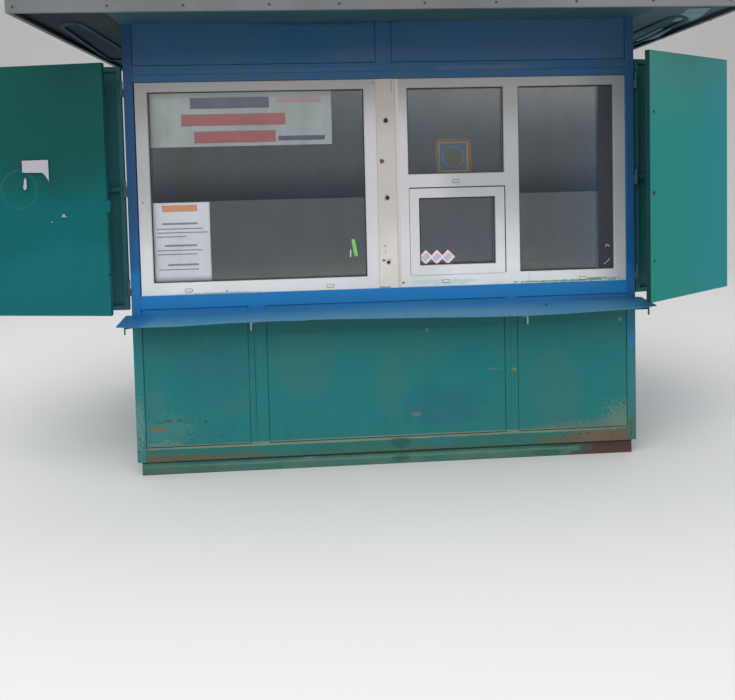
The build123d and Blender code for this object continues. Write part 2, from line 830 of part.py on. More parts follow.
# Soffit sheets at the ends: each has a slanting slot with rounded corners and a hanging rim
slot_y0 = soffit_y0 + soffit_slot_front_margin
slot_y1 = slot_y0 + soffit_slot_length
slot_front_x = fascia_x - soffit_slot_front_inset
slot_back_x = fascia_x - soffit_slot_back_inset
with BuildPart() as side_soffits:
    for side in (-1, 1):
        x_wall = side * body_width / 2
        x_end = side * (fascia_x - fascia_sheet)
        slot_corners = (
            (side * slot_front_x, slot_y0),
            (side * (slot_front_x + soffit_slot_front_width), slot_y0 + soffit_slot_front_skew),
            (side * (slot_back_x + soffit_slot_back_width), slot_y1),
            (side * slot_back_x, slot_y1),
        )
        block(
            min(x_wall, x_end), max(x_wall, x_end), soffit_y0, soffit_y1,
            soffit_z, soffit_top,
        )
        with BuildSketch(Plane.XY.offset(soffit_z)) as rim_sketch:
            Polygon(*slot_corners, align=None)
            fillet(rim_sketch.vertices(), soffit_slot_round)
            offset(amount=soffit_rim_width)
        extrude(amount=-soffit_rim_depth, taper=30)
        with BuildSketch(Plane.XY.offset(soffit_z - soffit_rim_depth - 1)) as slot_sketch:
            Polygon(*slot_corners, align=None)
            fillet(slot_sketch.vertices(), soffit_slot_round)
        extrude(amount=soffit_rim_depth + soffit_sheet + 2, mode=Mode.SUBTRACT)
side_soffits.part.label = "side_soffits"
export_step(side_soffits.part, "parts/side_soffits.step")

# Roof sheet: a folded cap with a low fall to the back and standing seams
roof_x = fascia_x + roof_sheet_thickness
roof_y0 = fascia_y0 - roof_sheet_thickness
roof_y1 = fascia_y1 + roof_sheet_thickness
roof_front_z = fascia_top + roof_fall
roof_back_z = fascia_top + roof_sheet_thickness
roof_skirt_z = fascia_top - roof_sheet_drip
with BuildPart() as roof_sheet:
    with BuildSketch(Plane.YZ.offset(-roof_x)):
        Polygon(
            (roof_y0, roof_skirt_z), (roof_y0, roof_front_z), (roof_y1, roof_back_z),
            (roof_y1, roof_skirt_z), align=None,
        )
    extrude(amount=2 * roof_x)
    with BuildSketch(Plane.YZ.offset(-fascia_x)):
        Polygon(
            (fascia_y0, roof_skirt_z - 1), (fascia_y0, roof_front_z - roof_sheet_thickness),
            (fascia_y1, fascia_top), (fascia_y1, roof_skirt_z - 1), align=None,
        )
    extrude(amount=2 * fascia_x, mode=Mode.SUBTRACT)
    seam_pitch = (2 * roof_x - roof_seam_width) / (roof_seam_count - 1)
    for index in range(roof_seam_count):
        with BuildSketch(Plane.YZ.offset(-roof_x + seam_pitch * index)):
            Polygon(
                (roof_y0, roof_front_z - 1), (roof_y0, roof_front_z + roof_seam_height),
                (roof_y1, roof_back_z + roof_seam_height), (roof_y1, roof_back_z - 1),
                align=None,
            )
        extrude(amount=roof_seam_width)
roof_sheet.part.label = "roof_sheet"
export_step(roof_sheet.part, "parts/roof_sheet.step")

# Shutters: every leaf is drawn closed, then turned to its open place
corner_axis_left = (left_x - hinge_offset, front_y)
corner_axis_right = (right_x + hinge_offset, front_y)
leaf_face_y = front_y - leaf_standoff
leaf_front_y = leaf_face_y - leaf_thickness
fold_axis_y = leaf_face_y + fold_axis_offset


hinge_levels = (
    leaf_bottom + hinge_end_margin, (leaf_bottom + leaf_top) / 2, leaf_top - hinge_end_margin,
)
fold_levels = (
    leaf_bottom + fold_end_margin, (leaf_bottom + leaf_top) / 2, leaf_top - fold_end_margin,
)


def leaf(x0, x1):
    """Add one shutter leaf: a flat sheet on a rim frame with a middle rail."""
    block(x0, x1, leaf_front_y, leaf_face_y, leaf_bottom, leaf_top)
    middle = (leaf_bottom + leaf_top) / 2
    for z0, z1 in (
        (leaf_bottom + leaf_rim, middle - leaf_rim / 2),
        (middle + leaf_rim / 2, leaf_top - leaf_rim),
    ):
        block(
            x0 + leaf_rim, x1 - leaf_rim, leaf_front_y + leaf_skin, leaf_face_y + 1, z0, z1,
            mode=Mode.SUBTRACT,
        )


def bolt_holes(x_edge, inward):
    """Cut the bolt holes near a leaf's free edge; the middle one takes the lock."""
    x_hole = x_edge + inward * bolt_hole_inset
    for z_at, radius in zip(bolt_levels, (bolt_hole_radius, lock_hole_radius, bolt_hole_radius)):
        with Locations(Plane(origin=(x_hole, leaf_front_y - 1, z_at), z_dir=(0, 1, 0))):
            Cylinder(
                radius, leaf_thickness + 2, align=(Align.CENTER, Align.CENTER, Align.MIN),
                mode=Mode.SUBTRACT,
            )


def lock_tab(x_edge, inward):
    """Add the lock tab that reaches past a leaf's free edge, and cut the notch below it."""
    x_root = x_edge + inward * lock_tab_width
    x_tip = x_edge - inward * lock_tab_reach
    z_mid = bolt_levels[1]
    block(
        min(x_root, x_tip), max(x_root, x_tip), leaf_front_y - lock_tab_thickness, leaf_front_y,
        z_mid - lock_tab_height / 2, z_mid + lock_tab_height / 2,
    )
    x_in = x_edge + inward * lock_notch_depth
    x_out = x_edge - inward
    block(
        min(x_in, x_out), max(x_in, x_out), leaf_front_y - 1, leaf_face_y + 1,
        bolt_levels[0] - lock_notch_height / 2, bolt_levels[0] + lock_notch_height / 2,
        mode=Mode.SUBTRACT,
    )


def corner_half(axis_x, toward):
    """Add the leaf halves of the corner hinges, above the fixed halves."""
    for z_at in hinge_levels:
        z0 = z_at + hinge_gap / 2
        with Locations((axis_x, front_y, z0)):
            Cylinder(hinge_radius, hinge_half_length, align=(Align.CENTER, Align.CENTER, Align.MIN))
        x_edge = axis_x + toward * leaf_edge_gap
        x_in = x_edge - toward * hinge_plate
        block(
            min(x_edge, x_in), max(x_edge, x_in), leaf_front_y + leaf_skin, front_y,
            z0, z0 + hinge_half_length,
        )
        with Locations((axis_x, front_y, z0)):
            Cylinder(
                hinge_pin_radius + hinge_pin_clearance, hinge_half_length - hinge_bar,
                align=(Align.CENTER, Align.CENTER, Align.MIN), mode=Mode.SUBTRACT,
            )


def fold_half(axis_x, toward, female):
    """Add one side of the fold hinges: plates on the leaf face with knuckles on the axis."""
    for z_at in fold_levels:
        x_far = axis_x + toward * (fold_edge_gap + fold_plate_width)
        if female:
            z0 = z_at
        else:
            z0 = z_at - fold_knuckle_length - hinge_gap
        block(
            min(axis_x, x_far), max(axis_x, x_far), leaf_face_y, leaf_face_y + fold_plate,
            z0, z0 + fold_knuckle_length,
        )
        with Locations((axis_x, fold_axis_y, z0)):
            Cylinder(
                fold_knuckle_radius, fold_knuckle_length,
                align=(Align.CENTER, Align.CENTER, Align.MIN),
            )
        if female:
            with Locations((axis_x, fold_axis_y, z0)):
                Cylinder(
                    fold_pin_radius + hinge_pin_clearance, fold_knuckle_length - fold_pin_radius,
                    align=(Align.CENTER, Align.CENTER, Align.MIN), mode=Mode.SUBTRACT,
                )
        else:
            with Locations((axis_x, fold_axis_y, z0)):
                Cylinder(
                    fold_pin_radius, 2 * fold_knuckle_length - 2 * fold_pin_radius,
                    align=(Align.CENTER, Align.CENTER, Align.MIN),
                )


def opened(shape, axis_point, angle):
    """Turn a shape about the vertical axis through a point."""
    return shape.rotate(Axis((axis_point[0], axis_point[1], 0), (0, 0, 1)), angle)


# Fixed halves of the corner hinges, on the corner posts
with BuildPart() as shutter_hinge_posts:
    for axis_x, toward in ((corner_axis_left[0], 1), (corner_axis_right[0], -1)):
        for z_at in hinge_levels:
            z1 = z_at - hinge_gap / 2
            z0 = z1 - hinge_half_length
            with Locations((axis_x, front_y, z0)):
                Cylinder(
                    hinge_radius, hinge_half_length, align=(Align.CENTER, Align.CENTER, Align.MIN),
                )
            x_post = axis_x + toward * hinge_offset
            block(
                min(axis_x, x_post), max(axis_x, x_post), front_y + hinge_gap,
                front_y + hinge_gap + hinge_bar, z0, z1,
            )
            with Locations((axis_x, front_y, z0)):
                Cylinder(
                    hinge_pin_radius, 2 * (hinge_half_length - hinge_bar),
                    align=(Align.CENTER, Align.CENTER, Align.MIN),
                )
shutter_hinge_posts.part.label = "shutter_hinge_posts"
export_step(shutter_hinge_posts.part, "parts/shutter_hinge_posts.step")

# Left pair
left_inner_x0 = corner_axis_left[0] + leaf_edge_gap
left_inner_x1 = left_inner_x0 + left_inner_width
left_fold_x = left_inner_x1 + fold_edge_gap
left_outer_x0 = left_fold_x + fold_edge_gap
left_outer_x1 = -left_meeting_gap
with BuildPart() as left_inner_closed:
    leaf(left_inner_x0, left_inner_x1)
    corner_half(corner_axis_left[0], 1)
    fold_half(left_fold_x, -1, False)
with BuildPart() as left_outer_closed:
    leaf(left_outer_x0, left_outer_x1)
    lock_tab(left_outer_x1, -1)
    fold_half(left_fold_x, 1, True)
with BuildPart() as shutter_left_inner:
    add(opened(left_inner_closed.part, corner_axis_left, -left_open_angle))
shutter_left_inner.part.label = "shutter_left_inner"
export_step(shutter_left_inner.part, "parts/shutter_left_inner.step")
with BuildPart() as shutter_left_outer:
    add(
        opened(
            opened(left_outer_closed.part, (left_fold_x, fold_axis_y), left_fold_angle),
            corner_axis_left, -left_open_angle,
        )
    )
shutter_left_outer.part.label = "shutter_left_outer"
export_step(shutter_left_outer.part, "parts/shutter_left_outer.step")

# Right pair
right_inner_x1 = corner_axis_right[0] - leaf_edge_gap
right_inner_x0 = right_inner_x1 - right_inner_width
right_fold_x = right_inner_x0 - fold_edge_gap
right_outer_x1 = right_fold_x - fold_edge_gap
right_outer_x0 = right_meeting_gap
with BuildPart() as right_inner_closed:
    leaf(right_inner_x0, right_inner_x1)
    corner_half(corner_axis_right[0], -1)
    fold_half(right_fold_x, 1, False)
with BuildPart() as right_outer_closed:
    leaf(right_outer_x0, right_outer_x1)
    bolt_holes(right_outer_x0, 1)
    fold_half(right_fold_x, -1, True)
with BuildPart() as shutter_right_inner:
    add(opened(right_inner_closed.part, corner_axis_right, right_open_angle))
shutter_right_inner.part.label = "shutter_right_inner"
export_step(shutter_right_inner.part, "parts/shutter_right_inner.step")
with BuildPart() as shutter_right_outer:
    add(
        opened(
            opened(right_outer_closed.part, (right_fold_x, fold_axis_y), -right_fold_angle),
            corner_axis_right, right_open_angle,
        )
    )
shutter_right_outer.part.label = "shutter_right_outer"
export_step(shutter_right_outer.part, "parts/shutter_right_outer.step")

# Board hung inside the left window, from the head of its frame
sign_x0 = left_light[0] - sign_side_gap
sign_z1 = left_light[3] + sign_top_gap
with BuildPart() as sign_board:
    block(
        sign_x0, sign_x0 + sign_width, frame_y1, frame_y1 + sign_thickness,
        sign_z1 - sign_height, sign_z1,
    )
sign_board.part.label = "sign_board"
export_step(sign_board.part, "parts/sign_board.step")

# Small framed picture standing against the transom
picture_x0 = upper_light[0] + picture_side_gap
picture_z0 = upper_light[2] - picture_seat
with BuildPart() as framed_picture:
    block(
        picture_x0, picture_x0 + picture_size, frame_y1, frame_y1 + picture_depth,
        picture_z0, picture_z0 + picture_size,
    )
    block(
        picture_x0 + picture_moulding, picture_x0 + picture_size - picture_moulding,
        frame_y1 - 1, frame_y1 + picture_depth - picture_board,
        picture_z0 + picture_moulding, picture_z0 + picture_size - picture_moulding,
        mode=Mode.SUBTRACT,
    )
framed_picture.part.label = "framed_picture"
export_step(framed_picture.part, "parts/framed_picture.step")
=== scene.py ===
import json
import math

import bmesh
import bpy
import numpy as np
from mathutils import Matrix, Vector


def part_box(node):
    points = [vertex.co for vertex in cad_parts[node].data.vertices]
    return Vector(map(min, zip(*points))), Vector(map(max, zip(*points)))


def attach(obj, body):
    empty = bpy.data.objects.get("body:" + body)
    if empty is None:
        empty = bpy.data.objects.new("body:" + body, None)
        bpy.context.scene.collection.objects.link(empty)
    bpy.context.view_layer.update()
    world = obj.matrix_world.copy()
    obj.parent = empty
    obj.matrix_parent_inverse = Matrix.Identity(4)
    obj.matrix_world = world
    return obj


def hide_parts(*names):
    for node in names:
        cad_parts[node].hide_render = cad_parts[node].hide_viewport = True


bl_info = {
    "name": "Street Kiosk",
    "version": (1, 0, 0),
    "blender": (4, 5, 0),
    "location": "View3D > Sidebar > Kiosk",
    "description": "Finishes, fittings and studio for a steel street kiosk",
    "category": "Object",
}

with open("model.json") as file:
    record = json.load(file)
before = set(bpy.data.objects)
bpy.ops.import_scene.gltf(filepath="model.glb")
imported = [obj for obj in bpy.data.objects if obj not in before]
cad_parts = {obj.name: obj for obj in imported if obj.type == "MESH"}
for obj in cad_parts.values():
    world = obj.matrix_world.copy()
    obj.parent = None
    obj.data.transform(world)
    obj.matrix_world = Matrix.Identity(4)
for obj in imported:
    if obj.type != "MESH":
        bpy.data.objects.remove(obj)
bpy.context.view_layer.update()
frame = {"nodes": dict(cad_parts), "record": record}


def low_high(node):
    """Lowest and highest corner of a CAD node as two arrays, in metres."""
    low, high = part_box(node)
    return np.array(low), np.array(high)


# ---------------------------------------------------------------- surfaces

def grid_faces(rows, columns, close_rows=False, close_columns=False):
    """Quads of a grid: every point is joined to the next one along both parameters."""
    row = np.arange(rows if close_rows else rows - 1)
    column = np.arange(columns if close_columns else columns - 1)
    a, b = (part.ravel() for part in np.meshgrid(row, column, indexing="ij"))
    c, d = (a + 1) % rows, (b + 1) % columns
    return np.stack([a * columns + b, c * columns + b, c * columns + d, a * columns + d], 1)


def slab(points, offset):
    """A thin closed body: a grid of points, the same grid moved by offset, and a rim."""
    rows, columns = points.shape[:2]
    index = np.arange(rows * columns).reshape(rows, columns)
    edge = np.concatenate([index[0, :-1], index[:-1, -1], index[-1, :0:-1], index[:0:-1, 0]])
    after = np.roll(edge, -1)
    face = grid_faces(rows, columns)
    count = rows * columns
    rim = np.stack([edge, edge + count, after + count, after], 1)
    both = np.concatenate([points.reshape(-1, 3), (points + offset).reshape(-1, 3)])
    return both, np.concatenate([face[:, ::-1], face + count, rim])


def turned(profile, origin, axis, segments=16):
    """A turned shape: each profile pair is a radius and a height, and the radius sweeps
    a circle about the axis while the height runs along it."""
    axis = np.array(axis, float) / np.linalg.norm(axis)
    helper = np.array([0, 0, 1.0]) if abs(axis[2]) < 0.9 else np.array([1.0, 0, 0])
    u = np.cross(axis, helper)
    u /= np.linalg.norm(u)
    v = np.cross(axis, u)
    turn = np.linspace(0, 2 * np.pi, segments, endpoint=False)
    circle = np.cos(turn)[:, None] * u + np.sin(turn)[:, None] * v
    pairs = np.array(profile, float)
    points = (np.array(origin, float) + pairs[:, 0, None, None] * circle
              + pairs[:, 1, None, None] * axis)
    return points.reshape(-1, 3), grid_faces(len(pairs), segments, close_columns=True)


def mitred_ring(low, high, depth, profile):
    """A profile carried round an upright rectangle: at each corner it moves out along both
    sides at once. The profile's pairs are the way outwards and the way towards the back."""
    corners = np.array([[low[0], low[1]], [high[0], low[1]], [high[0], high[1]],
                        [low[0], high[1]]], float)
    spread = np.array([[-1, -1], [1, -1], [1, 1], [-1, 1]], float)
    pairs = np.array(profile, float)
    flat = corners[:, None] + spread[:, None] * pairs[None, :, 0, None]
    deep = np.broadcast_to(depth + pairs[:, 1], flat.shape[:2])
    points = np.stack([flat[..., 0], deep, flat[..., 1]], -1)
    return points.reshape(-1, 3), grid_faces(4, len(pairs), True, True)


def tube(path, radius, segments=10):
    """A round rod: a circle of the given radius stands across the path at every point, and
    the ends are drawn in to the path's own end points."""
    path = np.array(path, float)
    along = np.gradient(path, axis=0)
    along /= np.linalg.norm(along, axis=1)[:, None]
    helper = np.where(np.abs(along[:, 2:3]) < 0.9, [[0, 0, 1.0]], [[1.0, 0, 0]])
    u = np.cross(along, helper)
    u /= np.linalg.norm(u, axis=1)[:, None]
    v = np.cross(along, u)
    turn = np.linspace(0, 2 * np.pi, segments, endpoint=False)
    circle = np.cos(turn)[:, None] * u[:, None] + np.sin(turn)[:, None] * v[:, None]
    ring = path[:, None] + radius * circle
    start = np.repeat(path[:1, None], segments, 1)
    end = np.repeat(path[-1:, None], segments, 1)
    points = np.concatenate([start, ring, end])
    return points.reshape(-1, 3), grid_faces(len(path) + 2, segments, close_columns=True)


def copies(shape, places):
    """The same shape at every place: its points are added to each place in turn."""
    points, faces = shape
    places = np.array(places, float)
    count = len(points)
    moved = (places[:, None] + points[None]).reshape(-1, 3)
    all_faces = (faces[None] + (np.arange(len(places)) * count)[:, None, None])
    return moved, all_faces.reshape(-1, faces.shape[1])


def joined(*shapes):
    """Several shapes as one list of points and one list of faces."""
    points, faces, start = [], [], 0
    for shape_points, shape_faces in shapes:
        points.append(shape_points)
        faces.append(shape_faces + start)
        start += len(shape_points)
    return np.concatenate(points), np.concatenate(faces)


def ripple(x, y, seed):
    """A smooth wavering between -1 and 1: a sum of sines with seeded waves and phases."""
    rng = np.random.default_rng(seed)
    total = np.zeros(np.broadcast(x, y).shape)
    for _ in range(7):
        kx, ky, phase = rng.normal(0, 1, 2).tolist() + [rng.uniform(0, 6.28)]
        total = total + np.sin(kx * x + ky * y + phase)
    return total / 7


def piece(name, shape, body, finish, smooth=False):
    """Makes one named piece from points and faces, and lets it ride on a CAD body. finish
    is the name of its material."""
    points, faces = shape
    mesh = bpy.data.meshes.new(name)
    mesh.from_pydata(points.tolist(), [], faces.tolist())
    work = bmesh.new()
    work.from_mesh(mesh)
    bmesh.ops.remove_doubles(work, verts=work.verts, dist=2e-6)
    bmesh.ops.dissolve_degenerate(work, edges=work.edges, dist=1e-6)
    bmesh.ops.recalc_face_normals(work, faces=work.faces)
    work.to_mesh(mesh)
    work.free()
    mesh.polygons.foreach_set("use_smooth", np.full(len(mesh.polygons), smooth))
    mesh.materials.append(MATERIALS[finish])
    made = bpy.data.objects.new(name, mesh)
    bpy.context.scene.collection.objects.link(made)
    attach(made, body)
    return made


# ---------------------------------------------------------------- nodes

def linear(red, green, blue):
    """A colour given in screen values 0 to 255, as the linear colour a shader takes."""
    screen = np.array([red, green, blue]) / 255.0
    value = np.where(screen <= 0.04045, screen / 12.92, ((screen + 0.055) / 1.055) ** 2.4)
    return (*value.tolist(), 1.0)


def put(tree, kind, settings=None, inputs=None):
    """Adds a node, with its settings, and its inputs as values or links."""
    made = tree.nodes.new(kind)
    for key, value in (settings or {}).items():
        setattr(made, key, value)
    for key, value in (inputs or {}).items():
        feed(tree, made.inputs[key], value)
    return made


def feed(tree, socket, value):
    """Sets a socket's value, or links another node's output to it."""
    if isinstance(value, bpy.types.NodeSocket):
        tree.links.new(value, socket)
    else:
        socket.default_value = value


def sums(tree, operation, a, b=0.0, c=0.0, clamp=False):
    """One Math node's output."""
    made = put(tree, "ShaderNodeMath", {"operation": operation, "use_clamp": clamp})
    for index, value in enumerate((a, b, c)):
        feed(tree, made.inputs[index], value)
    return made.outputs[0]


def blend_colours(tree, factor, a, b, mode="MIX"):
    """One Mix node's colour output."""
    made = put(tree, "ShaderNodeMix", {"data_type": "RGBA", "blend_type": mode})
    for index, value in ((0, factor), (6, a), (7, b)):
        feed(tree, made.inputs[index], value)
    return made.outputs[2]


def blend_values(tree, factor, a, b):
    """One Mix node's value output."""
    made = put(tree, "ShaderNodeMix", {"data_type": "FLOAT"})
    for index, value in ((0, factor), (2, a), (3, b)):
        feed(tree, made.inputs[index], value)
    return made.outputs[0]


def step(tree, value, low, high):
    """A smooth step from 0 at low to 1 at high."""
    made = put(tree, "ShaderNodeMapRange", {"interpolation_type": "SMOOTHSTEP"},
               {"Value": value, "From Min": low, "From Max": high})
    return made.outputs[0]


def place(tree, stretch=(1, 1, 1), shift=(0, 0, 0)):
    """Object coordinates, stretched and moved by a Mapping node."""
    source = put(tree, "ShaderNodeTexCoord")
    made = put(tree, "ShaderNodeMapping", None,
               {"Vector": source.outputs["Object"], "Scale": stretch, "Location": shift})
    return made.outputs[0]


def noise(tree, vector, scale, detail=4.0, rough=0.55, warp=0.0):
    """One Noise Texture's value."""
    made = put(tree, "ShaderNodeTexNoise", None,
               {"Vector": vector, "Scale": scale, "Detail": detail, "Roughness": rough,
                "Distortion": warp})
    return made.outputs["Fac"]


def level(tree):
    """The height above the ground in metres."""
    source = put(tree, "ShaderNodeTexCoord")
    made = put(tree, "ShaderNodeSeparateXYZ", None, {0: source.outputs["Object"]})
    return made.outputs[2]


def make_group(name, sockets):
    """A new node group: sockets are (name, in or out, type, default)."""
    tree = bpy.data.node_groups.new(name, "ShaderNodeTree")
    for label, way, kind, default in sockets:
        made = tree.interface.new_socket(
            name=label, in_out="INPUT" if way == "in" else "OUTPUT", socket_type=kind)
        if default is not None:
            made.default_value = default
    entry = tree.nodes.new("NodeGroupInput")
    leave = tree.nodes.new("NodeGroupOutput")
    return tree, entry.outputs, leave.inputs


COLOUR, VALUE, VECTOR = "NodeSocketColor", "NodeSocketFloat", "NodeSocketVector"
GREY = (0.5, 0.5, 0.5, 1.0)


def group_brushed_paint():
    """Paint laid on by brush: broad cloudy patches between two tones, upright streaks and a
    fine skin, out as a colour, a roughness and a height."""
    tree, entry, leave = make_group("brushed_paint", [
        ("Colour", "in", COLOUR, GREY), ("Second Colour", "in", COLOUR, GREY),
        ("Patch Scale", "in", VALUE, 2.0), ("Patch Amount", "in", VALUE, 0.5),
        ("Streak Amount", "in", VALUE, 0.3), ("Roughness", "in", VALUE, 0.45),
        ("Colour", "out", COLOUR, None), ("Roughness", "out", VALUE, None),
        ("Height", "out", VALUE, None)])
    cloud = noise(tree, place(tree), entry["Patch Scale"], 5.0, 0.6, 0.4)
    patch = sums(tree, "MULTIPLY", step(tree, cloud, 0.36, 0.66), entry["Patch Amount"])
    tone = blend_colours(tree, patch, entry["Colour"], entry["Second Colour"])
    streak = noise(tree, place(tree, (55, 55, 1.6)), 1.0, 3.0, 0.6)
    light = sums(tree, "MULTIPLY_ADD", sums(tree, "SUBTRACT", streak, 0.5),
                 entry["Streak Amount"], 1.0)
    shade = put(tree, "ShaderNodeHueSaturation", None, {"Color": tone, "Value": light})
    skin = noise(tree, place(tree), 260.0, 2.0)
    coarse = noise(tree, place(tree), 34.0, 3.0)
    feed(tree, leave["Colour"], shade.outputs[0])
    feed(tree, leave["Roughness"], sums(tree, "MULTIPLY_ADD", coarse, 0.16,
                                        sums(tree, "ADD", entry["Roughness"], -0.08)))
    feed(tree, leave["Height"], sums(tree, "MULTIPLY_ADD", streak, 0.7,
                                     sums(tree, "MULTIPLY_ADD", skin, 0.25, coarse)))
    return tree


def group_soft_spot():
    """A soft-edged spot round a centre: the distance from the centre, measured in the
    spot's own half sizes and roughened by a given noise, turned into a mask."""
    tree, entry, leave = make_group("soft_spot", [
        ("Centre", "in", VECTOR, (0, 0, 0)), ("Half Size", "in", VECTOR, (1, 1, 1)),
        ("Noise", "in", VALUE, 0.5), ("Raggedness", "in", VALUE, 0.5),
        ("Mask", "out", VALUE, None)])
    source = put(tree, "ShaderNodeTexCoord")
    away = put(tree, "ShaderNodeVectorMath", {"operation": "SUBTRACT"},
               {0: source.outputs["Object"], 1: entry["Centre"]})
    scaled = put(tree, "ShaderNodeVectorMath", {"operation": "DIVIDE"},
                 {0: away.outputs[0], 1: entry["Half Size"]})
    far = put(tree, "ShaderNodeVectorMath", {"operation": "LENGTH"}, {0: scaled.outputs[0]})
    rough = sums(tree, "MULTIPLY", sums(tree, "SUBTRACT", entry["Noise"], 0.5),
                 sums(tree, "MULTIPLY", entry["Raggedness"], 4.0))
    near = sums(tree, "SUBTRACT", sums(tree, "SUBTRACT", 1.0, far.outputs["Value"]), rough)
    feed(tree, leave["Mask"], step(tree, near, 0.0, 0.35))
    return tree


def group_rust():
    """Rust breaking through paint: noise is compared with a threshold that falls towards the
    foot level and inside a given mask; the rim of each spot is darker."""
    tree, entry, leave = make_group("rust_breakout", [
        ("Colour", "in", COLOUR, GREY), ("Roughness", "in", VALUE, 0.5),
        ("Height", "in", VALUE, 0.5), ("Amount", "in", VALUE, 0.1),
        ("Foot Amount", "in", VALUE, 0.0), ("Foot Level", "in", VALUE, 0.1),
        ("Fade Height", "in", VALUE, 0.2), ("Mask", "in", VALUE, 0.0),
        ("Grain", "in", VALUE, 18.0), ("Colour", "out", COLOUR, None),
        ("Roughness", "out", VALUE, None), ("Height", "out", VALUE, None),
        ("Rust", "out", VALUE, None)])
    rise = sums(tree, "DIVIDE", sums(tree, "SUBTRACT", level(tree), entry["Foot Level"]),
                entry["Fade Height"])
    foot = sums(tree, "MULTIPLY", sums(tree, "SUBTRACT", 1.0, rise, clamp=True),
                entry["Foot Amount"])
    wanted = sums(tree, "ADD", sums(tree, "ADD", entry["Amount"], foot), entry["Mask"])
    grain = noise(tree, place(tree), entry["Grain"], 9.0, 0.72, 0.3)
    edge = sums(tree, "SUBTRACT", sums(tree, "MULTIPLY_ADD", wanted, 0.5, grain), 0.74)
    rust = step(tree, edge, 0.0, 0.035)
    rim = sums(tree, "SUBTRACT", step(tree, edge, -0.03, 0.0), rust, clamp=True)
    tones = put(tree, "ShaderNodeValToRGB", None, {"Fac": noise(tree, place(tree), 70.0, 6.0)})
    ramp = tones.color_ramp
    ramp.elements[0].position, ramp.elements[0].color = 0.3, linear(50, 38, 30)
    ramp.elements[1].position, ramp.elements[1].color = 0.72, linear(118, 92, 70)
    middle = ramp.elements.new(0.5)
    middle.color = linear(84, 62, 48)
    stain = blend_colours(tree, sums(tree, "MULTIPLY", rim, 0.5), entry["Colour"],
                          linear(66, 62, 52))
    feed(tree, leave["Colour"], blend_colours(tree, rust, stain, tones.outputs[0]))
    feed(tree, leave["Roughness"], blend_values(tree, rust, entry["Roughness"], 0.9))
    feed(tree, leave["Height"], sums(tree, "MULTIPLY_ADD", rust, -1.2,
                                     sums(tree, "MULTIPLY_ADD", rim, 0.8, entry["Height"])))
    feed(tree, leave["Rust"], rust)
    return tree


def group_dirt():
    """Dirt as it settles outdoors: splashed up from a foot level, run down in upright
    streaks, and lying on every face that looks up."""
    tree, entry, leave = make_group("street_dirt", [
        ("Colour", "in", COLOUR, GREY), ("Roughness", "in", VALUE, 0.5),
        ("Dirt Colour", "in", COLOUR, linear(104, 98, 88)),
        ("Splash", "in", VALUE, 0.0), ("Foot Level", "in", VALUE, 0.0),
        ("Splash Height", "in", VALUE, 0.35), ("Runs", "in", VALUE, 0.1),
        ("Dust", "in", VALUE, 0.5), ("Colour", "out", COLOUR, None),
        ("Roughness", "out", VALUE, None), ("Dirt", "out", VALUE, None)])
    rise = sums(tree, "DIVIDE", sums(tree, "SUBTRACT", level(tree), entry["Foot Level"]),
                entry["Splash Height"])
    low = sums(tree, "SUBTRACT", 1.0, rise, clamp=True)
    speck = noise(tree, place(tree), 26.0, 8.0, 0.7)
    splash = sums(tree, "MULTIPLY", sums(tree, "MULTIPLY", sums(tree, "POWER", low, 1.6),
                                         step(tree, speck, 0.3, 0.7)), entry["Splash"])
    run = noise(tree, place(tree, (22, 22, 0.7)), 1.0, 6.0, 0.7)
    runs = sums(tree, "MULTIPLY", step(tree, run, 0.5, 0.78), entry["Runs"])
    facing = put(tree, "ShaderNodeNewGeometry")
    upward = put(tree, "ShaderNodeSeparateXYZ", None, {0: facing.outputs["Normal"]})
    lying = sums(tree, "MULTIPLY", step(tree, upward.outputs[2], 0.35, 0.9),
                 step(tree, speck, 0.2, 0.6))
    dust = sums(tree, "MULTIPLY", lying, entry["Dust"])
    total = sums(tree, "ADD", sums(tree, "ADD", splash, runs), dust, clamp=True)
    feed(tree, leave["Colour"], blend_colours(tree, total, entry["Colour"],
                                              entry["Dirt Colour"]))
    feed(tree, leave["Roughness"], blend_values(tree, total, entry["Roughness"], 0.92))
    feed(tree, leave["Dirt"], total)
    return tree


def group_edge_wear():
    """Worn edges: where the face's own normal and the normal of a rounded-off edge differ,
    broken up by noise."""
    tree, entry, leave = make_group("edge_wear", [
        ("Colour", "in", COLOUR, GREY), ("Wear Colour", "in", COLOUR, GREY),
        ("Radius", "in", VALUE, 0.003), ("Amount", "in", VALUE, 0.5),
        ("Colour", "out", COLOUR, None), ("Worn", "out", VALUE, None)])
    soft = put(tree, "ShaderNodeBevel", {"samples": 4}, {"Radius": entry["Radius"]})
    hard = put(tree, "ShaderNodeNewGeometry")
    same = put(tree, "ShaderNodeVectorMath", {"operation": "DOT_PRODUCT"},
               {0: soft.outputs[0], 1: hard.outputs["Normal"]})
    edge = step(tree, sums(tree, "SUBTRACT", 1.0, same.outputs["Value"]), 0.02, 0.25)
    broken = step(tree, noise(tree, place(tree), 45.0, 6.0, 0.7), 0.42, 0.62)
    worn = sums(tree, "MULTIPLY", sums(tree, "MULTIPLY", edge, broken), entry["Amount"])
    feed(tree, leave["Colour"], blend_colours(tree, worn, entry["Colour"],
                                              entry["Wear Colour"]))
    feed(tree, leave["Worn"], worn)
    return tree


GROUPS = {}


def use(tree, name, **values):
    """Places one of the shared node groups in a material, with its values or links."""
    if name not in GROUPS:
        GROUPS[name] = {
            "brushed_paint": group_brushed_paint, "soft_spot": group_soft_spot,
            "rust_breakout": group_rust, "street_dirt": group_dirt,
            "edge_wear": group_edge_wear}[name]()
    made = put(tree, "ShaderNodeGroup", {"node_tree": GROUPS[name]})
    for key, value in values.items():
        feed(tree, made.inputs[key.replace("_", " ")], value)
    return made.outputs


